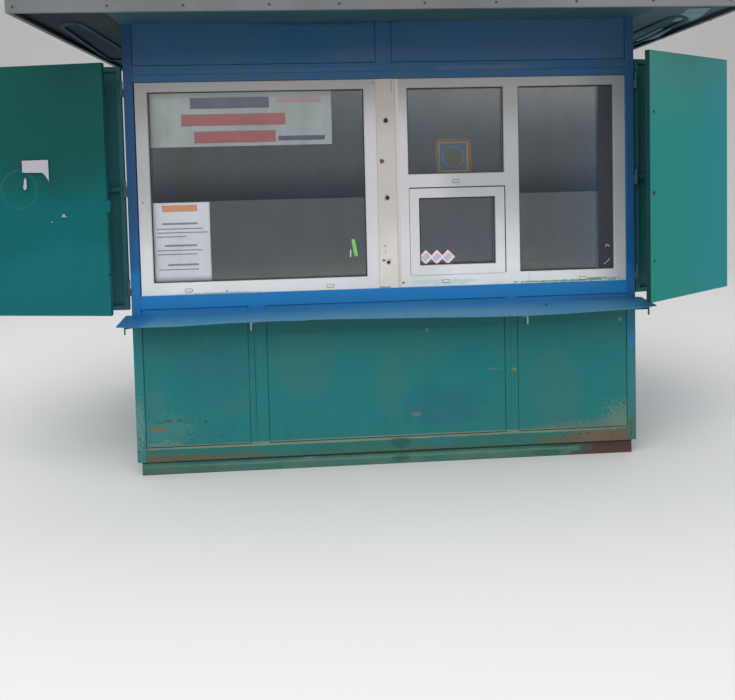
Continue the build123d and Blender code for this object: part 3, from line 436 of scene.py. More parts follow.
def spot(tree, grains, x, y, z, half_x, half_y, half_z, ragged, grain, amount):
    """A soft spot's mask times an amount. Spots of one grain share one noise."""
    if grain not in grains:
        grains[grain] = noise(tree, place(tree), grain, 6.0, 0.7)
    mask = use(tree, "soft_spot", Centre=(x, y, z), Half_Size=(half_x, half_y, half_z),
               Noise=grains[grain], Raggedness=ragged)["Mask"]
    return sums(tree, "MULTIPLY", mask, amount)


def rows(table):
    """A table written as text, as one list of numbers for each line."""
    return [[float(word) for word in line.split()] for line in table.strip().splitlines()]


MATERIALS = {}
LEVEL_BLUR = 0.004      # height over which a paint changes to the one below it, in metres
RING_WIDTH = 0.006      # half width of a faint round mark, in metres
# What the white window profiles and the shutter leaves have in common.
PLASTIC = {"rough": 0.34, "patch": 0.5, "patch_scale": 3.0, "streak": 0.02, "rust": -0.3,
           "runs": 0.04, "dust": 0.3, "wear": 0.12, "bump_by": 0.0001,
           "dirt": (128, 124, 116), "gloss": 0.35}
LEAF = {"streak": 0.06, "rust": -0.1, "runs": 0.02, "dust": 0.3, "bump_by": 0.0005,
        "gloss": 0.15}


def start_material(name, gloss=0.5):
    """An empty node material, kept under its name, and its Principled BSDF."""
    MATERIALS[name] = bpy.data.materials.new(name)
    MATERIALS[name].use_nodes = True
    tree = MATERIALS[name].node_tree
    shader = tree.nodes["Principled BSDF"]
    shader.inputs["Specular IOR Level"].default_value = gloss
    return tree, shader


def bump(tree, shader, height, distance=0.0006, strength=0.5):
    """Feeds a height to the shader's normal through a Bump node."""
    made = put(tree, "ShaderNodeBump", None,
               {"Height": height, "Distance": distance, "Strength": strength})
    tree.links.new(made.outputs[0], shader.inputs["Normal"])


def paint(name, colour, second, rough=0.45, patch=0.5, patch_scale=2.0, streak=0.25,
          rust=0.0, foot_rust=0.0, foot=0.0, fade=0.2, tints="", rusts="",
          dirt=(92, 86, 74), splash=0.0, splash_height=0.35, runs=0.05, dust=0.5,
          wear=0.3, wear_colour=(86, 80, 72), grain=45.0, bump_by=0.0006, below=None,
          gloss=0.3, ring=None, shaded_end=None):
    """One weathered paint: brushed paint, then tinted spots, rust, worn edges and dirt.
    Each line of tints is a soft spot: its centre, half sizes, raggedness, grain, amount
    and colour; a line of rusts is the same without the colour. Colours are screen values.
    below is a level and the pair of colours that the piece has under it, ring a faint round
    mark: its centre, radius, colour and amount, and shaded_end a direction, a distance along it
    and the colour that the piece has past that, which paints shade on an end face."""
    tree, shader = start_material(name, gloss)
    grains = {}
    base, other = linear(*colour), linear(*second)
    if below:
        edge = step(tree, level(tree), below[0], below[0] + LEVEL_BLUR)
        base = blend_colours(tree, edge, linear(*below[1]), base)
        other = blend_colours(tree, edge, linear(*below[2]), other)
    coat = use(tree, "brushed_paint", Colour=base, Second_Colour=other,
               Patch_Scale=patch_scale, Patch_Amount=patch, Streak_Amount=streak,
               Roughness=rough)
    tone = coat["Colour"]
    for *mark, red, green, blue in rows(tints):
        tone = blend_colours(tree, spot(tree, grains, *mark), tone, linear(red, green, blue))
    if ring:
        tone = blend_colours(tree, round_mark(tree, *ring[:2], ring[3]), tone,
                             linear(*ring[2]))
    # Past the given distance along the way, the colour turns dark: painted shade on the end
    # face.
    if shaded_end:
        along, distance, end_shade_colour = shaded_end
        source = put(tree, "ShaderNodeTexCoord")
        far = put(tree, "ShaderNodeVectorMath", {"operation": "DOT_PRODUCT"},
                  {0: source.outputs["Object"], 1: along})
        past = step(tree, far.outputs["Value"], distance - 0.0016, distance - 0.0008)
        tone = blend_colours(tree, past, tone, linear(*end_shade_colour))
    mask = 0.0
    for mark in rows(rusts):
        one = spot(tree, grains, *mark)
        mask = one if isinstance(mask, float) else sums(tree, "MAXIMUM", mask, one)
    rusted = use(tree, "rust_breakout", Colour=tone, Roughness=coat["Roughness"],
                 Height=coat["Height"], Amount=rust, Foot_Amount=foot_rust, Foot_Level=foot,
                 Fade_Height=fade, Mask=mask, Grain=grain)
    worn = use(tree, "edge_wear", Colour=rusted["Colour"],
               Wear_Colour=linear(*wear_colour), Amount=wear)
    dirty = use(tree, "street_dirt", Colour=worn["Colour"], Roughness=rusted["Roughness"],
                Dirt_Colour=linear(*dirt), Splash=splash, Foot_Level=foot,
                Splash_Height=splash_height, Runs=runs, Dust=dust)
    tree.links.new(dirty["Colour"], shader.inputs["Base Color"])
    tree.links.new(dirty["Roughness"], shader.inputs["Roughness"])
    bump(tree, shader, rusted["Height"], bump_by)


def round_mark(tree, centre, radius, amount):
    """A thin ring where something round was once stuck: one minus how far the distance
    from the centre is from the radius, in line widths."""
    source = put(tree, "ShaderNodeTexCoord")
    away = put(tree, "ShaderNodeVectorMath", {"operation": "DISTANCE"},
               {0: source.outputs["Object"], 1: centre})
    off = sums(tree, "ABSOLUTE", sums(tree, "SUBTRACT", away.outputs["Value"], radius))
    line = sums(tree, "SUBTRACT", 1.0, sums(tree, "DIVIDE", off, RING_WIDTH), clamp=True)
    return sums(tree, "MULTIPLY", line, amount)


def plain(name, colour, rough=0.5, metallic=0.0, vary=0.12, grain=60.0, bump_by=0.0002,
          second=None, gloss=0.5):
    """A simple even finish with a slight mottling and a fine skin. Without a second colour
    it is mottled with its own colour at 0.6 of its strength."""
    tree, shader = start_material(name, gloss)
    mottle = noise(tree, place(tree), grain, 5.0)
    first = linear(*colour)
    other = linear(*second) if second else tuple(c * 0.6 for c in first[:3]) + (1.0,)
    tone = blend_colours(tree, sums(tree, "MULTIPLY", mottle, vary * 2), first, other)
    tree.links.new(tone, shader.inputs["Base Color"])
    tree.links.new(sums(tree, "MULTIPLY_ADD", mottle, 0.2, rough - 0.1),
                   shader.inputs["Roughness"])
    shader.inputs["Metallic"].default_value = metallic
    bump(tree, shader, mottle, bump_by, 0.4)


def make_materials():
    """All finishes, kept by the names of the record's slots and the pieces' own names."""
    for finishes in (blue_finishes, teal_finishes, foot_finishes, leaf_finishes,
                     roof_finishes, window_finishes, small_finishes):
        finishes()
    return MATERIALS


def blue_finishes():
    """The blue of the front above the shelf, with darker copies for the wall and lintel under
    the eave that carry painted shade, and the shelf itself.
    """
    rail = frame_levels()
    front = rail["shelf_front"]
    paint("blue_paint", (22, 122, 188), (28, 118, 178), rough=0.42, patch=0.5, patch_scale=2.6,
          streak=0.12, rust=-0.1, runs=0.03, dust=0.25, wear=0.2, wear_colour=(58, 92, 118),
          tints="""
    -0.2 -1 0.96 0.5 0.1 0.03 0.4 9 0.5 30 118 180
    0.9 -1 0.98 0.4 0.1 0.02 0.4 9 0.4 30 118 180""")
    # The wall under the eave: the same blue made duller and darker. The duller tone is the
    # paint's own; the darker part is painted shade of the eave.
    paint("upper_paint_and_eave_shade", (38, 90, 132), (54, 94, 122), rough=0.5, patch=0.7, patch_scale=3.0,
          streak=0.12, rust=-0.1, runs=0.02, dust=0.3, wear=0.15, wear_colour=(60, 88, 108),
          tints="""
    0 -1 2.284 0.42 0.1 0.04 0.55 17 0.5 66 100 126
    1.1 -1 2.27 0.4 0.1 0.06 0.5 13 0.35 62 98 132
    1.3 -1 2.36 1.2 0.1 0.4 0.1 5 0.6 60 98 134
    -0.28 -1 2.49 0.75 0.1 0.055 0.12 9 0.9 30 70 66
    0.5 -1 2.5 1.2 0.1 0.045 0.12 9 0.9 30 70 66
    -1 -1 2.5 0.9 0.1 0.04 0.12 9 0.9 30 70 66""")
    # The lintel: a greyer, darker copy of the blue. The grey is its own tone; the darker part
    # is painted shade of the eave.
    paint("lintel_paint_and_eave_shade", (34, 88, 132), (52, 90, 116), rough=0.5, patch=0.8, patch_scale=5.0,
          streak=0.1, rust=-0.1, runs=0.02, dust=0.5, wear=0.3, wear_colour=(84, 104, 122),
          tints="""
    0.55 -1 2.2 0.35 0.1 0.02 0.5 20 0.45 92 104 132
    -0.6 -1 2.2 0.7 0.1 0.015 0.5 14 0.3 78 104 128""")
    # The greyer dark patch at the shelf's right end, by the wall, is painted shade.
    paint("shelf_paint", (60, 124, 160), (78, 126, 154), rough=0.42, patch=0.75,
          patch_scale=3.5, streak=0.0, rust=-0.1, runs=0.0, dust=0.0, wear=0.5,
          wear_colour=(96, 108, 120), bump_by=0.0004,
          tints="""
    -0.1 -0.98 0.89 3.2 0.2 0.3 0.06 7 0.5 44 110 160
    -0.1 -0.98 0.89 3.2 0.12 0.3 0.08 7 0.6 36 104 158
    -1.4 -1.1 0.88 0.16 0.2 0.1 0.3 9 0.8 30 98 156
    -0.95 -0.985 0.89 0.5 0.05 0.1 0.3 7 0.8 44 110 160
    1.25 -1.02 0.89 0.35 0.05 0.1 0.3 9 0.6 58 84 118
    0.45 -1.15 0.87 0.35 0.05 0.1 0.5 12 0.5 88 126 158
    0.86 -1.09 0.88 0.009 0.012 0.1 0.1 60 1 24 40 66
    0.855 -1.075 0.88 0.006 0.02 0.1 0.2 60 0.5 36 74 112""", rusts=f"""
    0.09 {front} 0.86 0.09 0.016 0.03 0.4 60 0.42
    0.22 {front} 0.86 0.03 0.02 0.03 0.4 60 0.4
    0.31 {front} 0.86 0.015 0.02 0.03 0.4 60 0.4
    -0.47 {front} 0.87 0.06 0.008 0.03 0.4 60 0.35""")
    # The two tints high on the corner posts darken their upper parts as painted shade of the
    # eave. The narrow bright blue streak low on the right post is the blue paint lightened as a
    # painted highlight.
    paint("post_paint_with_shade_and_glint", (26, 92, 152), (36, 84, 132), rough=0.45, streak=0.12, rust=-0.05,
          runs=0.03, wear=0.4, wear_colour=(66, 96, 116), splash=0.25, foot=0.08,
          splash_height=0.2, below=(rail["shelf"] - 0.012, (34, 120, 128), (58, 128, 126)),
          tints="""
    1.372 -1 0.665 0.02 0.1 0.075 0.1 18 0.75 44 128 196
    1.37 -1 0.78 0.03 0.1 0.16 0.1 18 0.5 34 110 150
    -1.385 -1 1 0.2 0.1 0.16 0.06 8 0.8 28 118 182
    1.385 -1 0.98 0.2 0.1 0.14 0.06 8 0.5 28 112 172
    -1.385 -1 2.4 0.2 0.1 1.3 0.06 8 0.8 34 70 106
    1.385 -1 2.3 0.2 0.1 0.9 0.06 8 0.7 44 84 118
    -1.385 -1 0.27 0.04 0.1 0.16 1.1 75 0.5 112 150 138
    1.385 -1 0.16 0.04 0.1 0.16 0.9 60 0.5 84 100 84""", rusts="""
    -1.372 -1 0.32 0.02 0.2 0.05 0.4 60 0.42
    -1.37 -1 0.2 0.025 0.2 0.09 0.4 60 0.4
    -1.39 -1 0.12 0.04 0.2 0.05 0.4 45 0.36
    1.375 -1 0.14 0.04 0.2 0.13 0.5 60 0.42""")


def teal_finishes():
    """The teal of the lower panels, posts and walls."""
    rail = frame_levels()
    # The dark, greener band across the top of the panels, just under the shelf, is painted
    # shade of the shelf.
    paint("panel_paint_and_shelf_shade", (26, 116, 178), (34, 108, 160), rough=0.5, patch=0.6, patch_scale=2.2,
          streak=0.22, rust=-0.2, splash=0.12, foot=0.15, splash_height=0.3, runs=0.05,
          dust=0.9, wear=0.3, dirt=(112, 112, 98),
          below=(rail["shelf"] - 0.002, (12, 118, 122), (38, 120, 116)),
          tints="""
    -0.47 -1 0.62 0.2 0.1 0.28 0.2 6 0.5 52 116 114
    -0.88 -1 0.37 0.14 0.1 0.07 0.2 14 0.4 52 116 114
    0 -1 0.45 0.12 0.1 0.22 0.2 9 0.45 52 116 114
    0.93 -1 0.4 0.18 0.1 0.26 0.2 8 0.5 52 116 114
    0 -1 0.815 2.2 0.1 0.07 0.06 6 0.7 14 102 98
    0.3 -1 0.33 0.25 0.1 0.14 0.5 7 0.5 18 104 116
    -1 -1 0.55 0.25 0.1 0.2 0.5 7 0.4 20 106 120
    -1.24 -1 0.25 0.16 0.1 0.09 1.1 60 0.22 104 142 124
    -1.29 -1 0.4 0.06 0.1 0.09 0.2 24 0.35 70 118 118
    -1.25 -1 0.165 0.12 0.1 0.03 1 60 0.45 104 142 124
    1.34 -1 0.17 0.11 0.1 0.15 0.25 18 0.5 74 124 108
    1.32 -1 0.18 0.12 0.1 0.12 1.2 70 0.55 116 140 118
    1.1 -1 0.15 0.34 0.1 0.06 0.8 60 0.5 104 124 104
    0.137 -1 0.28 0.035 0.1 0.015 0.6 30 0.6 120 124 112
    0.212 -1 0.754 0.012 0.1 0.014 0.4 30 0.6 104 140 124
    1.31 -1 0.775 0.01 0.1 0.012 0.4 30 0.8 120 150 120
    0.698 -1 0.513 0.016 0.1 0.01 0.4 30 0.8 126 140 84
    0 -1 0.16 1.6 0.1 0.01 0.25 12 0.75 128 146 128
    -0.745 -1 0.5 0.0035 0.1 0.36 0.05 9 0.75 12 66 74
    -1.288 -1 0.258 0.055 0.1 0.018 0.5 34 0.9 112 106 78
    0.58 -1 0.52 0.06 0.1 0.006 0.5 24 0.4 112 130 116""", rusts="""
    -1.29 -1 0.293 0.04 0.2 0.007 0.5 60 0.5
    -1.2 -1 0.303 0.1 0.2 0.012 0.5 60 0.62
    -1.27 -1 0.3 0.05 0.2 0.012 0.5 60 0.6
    -1.33 -1 0.33 0.012 0.2 0.012 0.4 60 0.6
    -1.25 -1 0.166 0.05 0.2 0.008 0.5 60 0.5
    -1.35 -1 0.2 0.018 0.2 0.06 0.5 60 0.45
    -1.024 -1 0.291 0.014 0.2 0.008 0.3 60 0.9
    -1.118 -1 0.227 0.008 0.2 0.007 0.2 60 0.9
    -0.86 -1 0.33 0.007 0.2 0.005 0.2 60 0.8
    -0.94 -1 0.21 0.007 0.2 0.008 0.2 60 0.7
    -1.283 -1 0.464 0.012 0.2 0.006 0.3 60 0.6
    1.33 -1 0.297 0.008 0.2 0.008 0.3 60 0.9
    1.335 -1 0.2 0.03 0.2 0.08 0.5 60 0.4
    1.2 -1 0.165 0.16 0.2 0.014 0.5 60 0.42
    0.71 -1 0.2 0.012 0.2 0.06 0.5 60 0.4""")
    paint("teal_paint", (26, 116, 178), (34, 108, 160), rough=0.5, patch=0.6, patch_scale=1.7,
          streak=0.12, rust=-0.05, foot_rust=0.1, foot=0.08, fade=0.2, splash=0.4,
          splash_height=0.3, runs=0.08, dust=0.9, wear=0.35, dirt=(104, 104, 90),
          below=(rail["shelf"] - 0.002, (12, 118, 122), (38, 120, 116)))
    paint("bracket_paint", (30, 100, 112), (44, 100, 110), rough=0.5, rust=0.05, runs=0.0,
          wear=0.4,
          tints="""
    -0.735 -1.2 0.84 0.04 0.3 0.3 0.05 9 1 140 176 176
    0.725 -1.2 0.84 0.04 0.3 0.3 0.05 9 1 140 176 176""")


def foot_finishes():
    """The bottom rails and the base, with the dirt of the street on them."""
    dusty = frame_levels()["rail_top"] - 0.004
    paint("rail_paint", (34, 110, 104), (58, 112, 100), rough=0.55, patch=0.7, patch_scale=3.5,
          streak=0.1, rust=-0.1, foot=0.078, splash=0.35, splash_height=0.05, runs=0.05,
          dust=1.0, wear=0.4, dirt=(96, 92, 74),
          tints=f"""
    -1.35 -1 0.08 0.42 0.1 0.055 0.9 60 0.8 96 90 66
    -0.95 -1 0.08 0.34 0.1 0.035 0.9 60 0.65 96 90 66
    -0.2 -1 0.08 0.8 0.1 0.012 0.5 30 0.5 96 90 66
    -0.3 -1 {dusty} 1.4 0.1 0.011 0.25 14 0.8 128 144 126
    1 -1 {dusty} 0.5 0.1 0.011 0.25 14 0.7 128 142 122
    0.05 -1 0.125 0.08 0.1 0.035 0.35 14 0.7 16 88 78
    0.28 -1 0.125 0.08 0.1 0.04 0.4 14 0.5 36 116 140
    -0.55 -1 0.12 0.2 0.1 0.03 0.5 9 0.4 40 118 112
    1.18 -1 0.105 0.26 0.1 0.045 0.8 48 0.8 124 92 76
    1.33 -1 0.1 0.14 0.1 0.06 0.8 48 0.75 112 90 76
    0.95 -1 0.1 0.16 0.1 0.02 0.5 30 0.7 96 92 70""", rusts="""
    -1.3 -1 0.1 0.2 0.2 0.05 0.4 60 0.24
    -0.95 -1 0.11 0.2 0.2 0.04 0.4 60 0.2
    1.08 -1 0.13 0.16 0.2 0.02 0.5 60 0.45
    1.27 -1 0.12 0.14 0.2 0.05 0.5 60 0.4
    0.7 -1 0.08 0.3 0.2 0.006 0.5 60 0.3""")
    # The thin dark band along the top of the base, right under the rail, is painted shade of
    # the rail above it.
    paint("base_paint", (48, 118, 108), (88, 126, 112), rough=0.6, patch=0.8, patch_scale=6.0,
          streak=0.05, rust=-0.05, foot_rust=0.1, fade=0.06, splash=0.5, splash_height=0.05,
          dust=0.9, wear=0.4, dirt=(92, 78, 66),
          tints="""
    -0.2 -0.98 0.043 1.6 0.1 0.009 0.3 16 0.55 112 148 136
    0.05 -0.98 0.03 0.07 0.1 0.02 0.4 16 0.6 18 92 78
    0.88 -0.98 0.02 0.1 0.1 0.02 0.4 16 0.6 24 100 78
    -0.47 -0.98 0.058 0.05 0.1 0.004 0.3 24 0.7 120 160 160
    -1.2 -0.98 0.02 0.4 0.1 0.03 0.5 16 0.5 76 100 84
    0.97 -0.98 0.066 0.14 0.1 0.02 0.5 24 0.7 70 78 44
    1.36 -0.98 0.04 0.3 0.12 0.09 0.22 12 1 84 60 55
    1.15 -0.98 0 0.2 0.12 0.03 0.3 16 0.8 78 64 57
    0 -0.98 0.073 2.4 0.12 0.013 0.08 9 0.85 24 46 40""", rusts="""
    -1.3 -0.98 0.06 0.12 0.3 0.03 0.5 45 0.3""")


def leaf_finishes():
    """The four shutter leaves, their hinges, and the door."""
    paint("shutter_paint", (46, 102, 107), (50, 102, 103), rough=0.45, patch=0.6,
          patch_scale=1.6, wear=0.3, **LEAF)
    # The outer right leaf: the same paint as the left leaf, made brighter as painted light. Its
    # free end face turns dark as painted shade.
    paint("leaf_right_paint_and_light", (20, 136, 146), (28, 140, 142), rough=0.42, patch=0.5,
          patch_scale=1.4, wear=0.2, shaded_end=(*free_end("shutter_right_outer"), (24, 58, 60)),
          **LEAF,
          tints="""
    0.9 -1.28 1.7 1.1 4 6 0.02 4 0.55 24 136 120
    0.9 -1.28 1 0.56 4 1.1 0.02 4 0.65 14 142 110
    1.2 -1.2 3.2 1.6 4 1.5 0.02 4 0.7 66 132 126""")
    # The outer left leaf: the same paint made darker as painted shade, and darker still towards
    # its top as painted shade of the roof.
    paint("leaf_left_paint_and_shade", (2, 96, 100), (6, 92, 90), rough=0.45, patch=0.5, patch_scale=1.4,
          wear=0.25, ring=((-1.9475, -1.0578, 1.591), 0.1, (62, 112, 108), 0.4), **LEAF,
          tints="""
    -1.75 -1.1 2.3 0.9 0.4 0.9 0.06 4 0.9 12 74 70
    -1.7 -1.1 1.05 0.6 0.3 0.3 0.2 4 0.6 16 106 112""")
    paint("hinge_steel", (84, 96, 90), (58, 76, 76), rough=0.55, patch=0.9, patch_scale=9.0,
          rust=0.12, grain=90.0, runs=0.05, wear=0.7, wear_colour=(138, 130, 112))
    paint("door_paint", (20, 104, 112), (50, 110, 108), rough=0.45, rust=-0.05, foot_rust=0.15,
          foot=0.12, splash=0.4, splash_height=0.3, runs=0.06, wear=0.4)
    plain("handle_steel", (148, 148, 146), 0.35, 0.9, vary=0.25, grain=120.0,
          second=(86, 84, 80))


def roof_finishes():
    """The soffits, the fascias and the roof sheet."""
    paint("eave_paint", (60, 92, 101), (56, 82, 102), rough=0.7, patch=0.7, patch_scale=3.0,
          streak=0.0, rust=-0.05, runs=0.04, dust=0.3, wear=0.3, wear_colour=(60, 98, 100),
          gloss=0.05,
          tints="""
    -0.3 -1.22 2.46 1.3 0.05 0.1 0.15 6 0.5 44 96 92""")
    # The first tint lightens the right side soffit as painted light; the left one keeps the
    # darker base.
    paint("side_soffit_paint_and_light", (40, 52, 60), (34, 44, 52), rough=0.7, patch=0.6,
          patch_scale=4.0, streak=0.0, rust=-0.08, runs=0.0, dust=0.3, wear=0.3,
          wear_colour=(70, 110, 110), gloss=0.05,
          below=(low_high("side_soffits")[0][2] + 0.0055, (52, 86, 88), (44, 76, 80)),
          tints="""
    1.62 0 2.46 0.6 3 0.003 0.06 6 0.9 84 106 114
    -1.5 -1 2.46 0.12 0.6 0.003 0.1 6 0.6 44 66 68""")
    # The tint lightens the right lining as painted light; the left one keeps the darker base.
    paint("lining_paint_and_light", (54, 70, 80), (48, 60, 72), rough=0.8, patch=0.6, patch_scale=5.0,
          streak=0.0, rust=-0.1, gloss=0.02,
          tints="""
    1.7 0 2.46 0.6 3 0.1 0.06 6 0.9 76 106 112""")
    # The bent strips and flaps: the rim's teal made much lighter, as painted highlight on the
    # bent sheet.
    paint("soffit_rim_and_highlight", (124, 156, 160), (98, 130, 136), rough=0.6, patch=0.7, patch_scale=6.0,
          rust=-0.05, wear=0.4, wear_colour=(126, 150, 148), gloss=0.1)
    paint("fascia_paint", (110, 114, 117), (98, 101, 102), rough=0.55, patch=0.7,
          patch_scale=2.2, streak=0.06, rust=-0.1, runs=0.08, wear=0.3, gloss=0.2,
          dirt=(84, 80, 76),
          tints="""
    1.6 -1.42 2.5 1 0.1 0.4 0.08 4 0.8 128 129 131
    0.1 -1.42 2.5 0.3 0.1 0.2 0.4 6 0.35 118 106 106""", rusts="""
    -1.2 -1.42 2.45 0.03 0.1 0.008 0.4 60 0.3
    -0.35 -1.42 2.45 0.03 0.1 0.008 0.4 60 0.3
    0.5 -1.42 2.45 0.03 0.1 0.008 0.4 60 0.3
    1.3 -1.42 2.45 0.03 0.1 0.008 0.4 60 0.3""")
    paint("roof_steel", (132, 134, 136), (104, 106, 108), rough=0.5, patch=0.8,
          patch_scale=3.0, streak=0.05, rust=0.03, grain=22.0, runs=0.12, dust=0.35, wear=0.3)


def window_finishes():
    """The white window profiles, the panes, the rubber and the board behind the pane."""
    bolt0, bolt1, bolt2 = frame_levels()["bolts"]
    # The first four tints paint light and shade on the profiles: darker towards the top as
    # painted shade of the eave, darker at the right end as painted shade, and lighter in the
    # middle beside the coupler as painted light.
    paint("white_plastic", (230, 234, 236), (218, 220, 221), wear_colour=(120, 120, 118),
          **PLASTIC,
          tints="""
    0 -1 2.5 6 0.4 1.45 0.03 9 0.85 166 168 172
    0 -1 2.4 6 0.4 0.6 0.03 9 0.6 152 149 144
    1.5 -1 1.9 0.45 0.4 1.4 0.03 9 0.6 138 144 147
    0 -1 1.42 0.42 0.4 0.75 0.03 9 0.6 218 214 217
    -0.9 -0.99 1 0.3 0.1 0.006 0.5 40 0.5 140 150 150
    -0.887 -0.99 1.008 0.006 0.1 0.006 0.2 60 0.7 110 112 110""")
    # The first four tints paint light and shade on the profiles: darker towards the top as
    # painted shade of the eave, darker at the right end as painted shade, and lighter in the
    # middle beside the coupler as painted light.
    paint("chipped_plastic_and_shade", (230, 234, 236), (218, 220, 221), **PLASTIC,
          tints="""
    0 -1 2.5 6 0.4 1.45 0.03 9 0.85 166 168 172
    0 -1 2.4 6 0.4 0.6 0.03 9 0.6 152 149 144
    1.5 -1 1.9 0.45 0.4 1.4 0.03 9 0.6 138 144 147
    0 -1 1.42 0.42 0.4 0.75 0.03 9 0.6 218 214 217
    0.06 -0.99 1.6 0.022 0.03 1.3 0 9 0.8 204 198 193
    1.02 -0.99 1.004 0.32 0.1 0.0065 0.75 42 0.8 66 142 118
    1.2 -0.99 1.012 0.1 0.1 0.006 0.7 60 0.8 66 142 118
    0.3 -0.99 1.02 0.2 0.1 0.02 0.7 20 0.6 176 214 214
    0.085 -0.99 1.022 0.008 0.1 0.008 0.3 60 0.9 96 120 112
    0.794 -0.99 1.03 0.0016 0.1 0.034 0 60 0.6 120 122 120""")
    # The first two tints darken the coupler towards the top as painted shade of the eave.
    paint("coupler_plastic_and_shade", (226, 222, 218), (214, 208, 202), **PLASTIC,
          tints=f"""
    0 -1 2.5 6 0.4 1.45 0.03 9 0.7 180 174 170
    0 -1 2.4 6 0.4 0.6 0.03 9 0.5 168 160 154
    0.004 -0.994 {bolt0} 0.018 0.03 0.022 0.5 60 0.45 120 96 78
    0.004 -0.994 {bolt1} 0.018 0.03 0.022 0.5 60 0.45 120 96 78
    0.004 -0.994 {bolt2} 0.018 0.03 0.022 0.5 60 0.45 120 96 78
    -0.052 -0.994 2.1 0.004 0.03 0.06 0.4 40 0.7 146 106 92
    0.04 -0.994 2.11 0.004 0.03 0.05 0.4 40 0.6 146 106 92
    -0.02 -0.994 1.15 0.012 0.03 0.01 0.5 60 0.8 120 96 78
    -0.012 -0.994 1.231 0.005 0.03 0.005 0.2 60 0.9 120 96 78
    -0.01 -0.994 1.2 0.003 0.03 0.014 0.3 60 0.5 120 96 78
    -0.04 -0.994 1 0.05 0.03 0.008 0.5 60 0.7 120 96 78""")
    paint("board", (178, 182, 180), (154, 160, 160), rough=0.6, patch=0.7, patch_scale=3.0,
          streak=0.3, rust=-0.3, runs=0.04, dust=0.0, wear=0.1, gloss=0.2, bump_by=0.0003)
    plain("spacer_aluminium", (150, 152, 155), 0.35, 0.9)
    glass("window_glass")
    plain("rubber", (44, 46, 48), 0.6, vary=0.2)


def small_finishes():
    """Wood, paper, enamel and the small steel parts."""
    plain("floor_wood", (118, 96, 74), 0.6, vary=0.3, grain=9.0)
    plain("gilt_wood", (122, 70, 20), 0.6, vary=0.4, gloss=0.05, grain=120.0, bump_by=0.0006,
          second=(62, 32, 14))
    plain("gilt_light", (164, 134, 66), 0.6, vary=0.3, gloss=0.05, grain=150.0,
          second=(96, 74, 36))
    plain("screw_steel", (72, 66, 60), 0.5, 0.4, vary=0.5, grain=300.0, second=(50, 36, 28))
    plain("washer_steel", (120, 120, 118), 0.45, 0.7, vary=0.4, grain=200.0)
    plain("hole_shade", (30, 28, 28), 0.8, vary=0.3)
    plain("rusty_plug", (122, 102, 94), 0.8, vary=0.5, grain=400.0, second=(66, 46, 38))
    plain("paper", (236, 230, 243), 0.8, vary=0.06, grain=25.0)
    plain("torn_paper", (182, 178, 190), 0.85, vary=0.25, grain=60.0, second=(150, 158, 160))
    plain("ink_grey", (104, 104, 114), 0.7, vary=0.3, grain=500.0, second=(160, 160, 170))
    plain("ink_orange", (246, 140, 84), 0.6, vary=0.2, grain=90.0)
    plain("ink_blue", (24, 28, 92), 0.6, vary=0.25, grain=90.0)
    plain("ink_red", (176, 48, 56), 0.6, vary=0.25, grain=90.0)
    plain("ink_pale_red", (190, 136, 140), 0.6, vary=0.2)
    plain("ink_pale_blue", (100, 104, 172), 0.6, vary=0.2)
    plain("enamel_blue", (2, 66, 106), 0.7, vary=0.3, gloss=0.05)
    plain("enamel_leaf", (62, 62, 26), 0.7, vary=0.4, gloss=0.05, second=(34, 46, 28))
    plain("green_tape", (128, 206, 104), 0.4, vary=0.15)
    plain("white_line", (222, 226, 228), 0.6, vary=0.1)
    # The dark strip on the tall pane: a painted reflection.
    plain("reflection_film", (56, 58, 68), 0.6, vary=0.25, grain=12.0)
    plain("sealant", (196, 192, 188), 0.6, vary=0.1, grain=20.0)


def glass(name):
    """Clear sheet glass with a slight grey film. Light passes it unbent on its way to the
    things behind, so that they are lit as through a real pane."""
    tree, shader = start_material(name)
    shader.inputs["Transmission Weight"].default_value = 1.0
    shader.inputs["Metallic"].default_value = 0.0
    shader.inputs["IOR"].default_value = 1.58
    film = noise(tree, place(tree, (3, 3, 1.2)), 4.0, 6.0, 0.7)
    tint = blend_colours(tree, step(tree, film, 0.35, 0.75), linear(248, 251, 251),
                         linear(242, 246, 245))
    tree.links.new(tint, shader.inputs["Base Color"])
    tree.links.new(sums(tree, "MULTIPLY", step(tree, film, 0.5, 0.85), 0.02),
                   shader.inputs["Roughness"])
    ray = put(tree, "ShaderNodeLightPath")
    passing = sums(tree, "MAXIMUM", ray.outputs["Is Shadow Ray"], ray.outputs["Is Diffuse Ray"])
    clear = put(tree, "ShaderNodeBsdfTransparent", None, {"Color": (0.96, 0.97, 0.97, 1.0)})
    mix = put(tree, "ShaderNodeMixShader", None,
              {0: passing, 1: shader.outputs[0], 2: clear.outputs[0]})
    tree.links.new(mix.outputs[0], tree.nodes["Material Output"].inputs["Surface"])


def free_end(node):
    """The way along an open leaf to its free end, and how far that end is: the way is from
    the leaf's rearmost place to its foremost one, turned square to its end face."""
    points = np.array([v.co for v in frame["nodes"][node].data.vertices])
    plan = points[:, :2] - points[:, :2].mean(0)
    way = np.linalg.eigh(plan.T @ plan)[1][:, 1]
    way = way if way[1] < 0 else -way
    along = (float(way[0]), float(way[1]), 0.0)
    return along, float((points @ np.array(along)).max())


def frame_levels():
    """Levels of the CAD model that finishes and pieces line up with, in metres."""
    shelf_low, shelf_high = low_high("counter_shelf")
    leaf = low_high("shutter_right_outer")
    return {"shelf": float(shelf_high[2]), "shelf_front": float(shelf_low[1]),
            "rail_top": float(low_high("bottom_rails")[1][2]),
            "bolts": [float(leaf[0][2]) + v for v in (0.217, 0.574, 0.998)]}


# ---------------------------------------------------------------- sizes a user may change

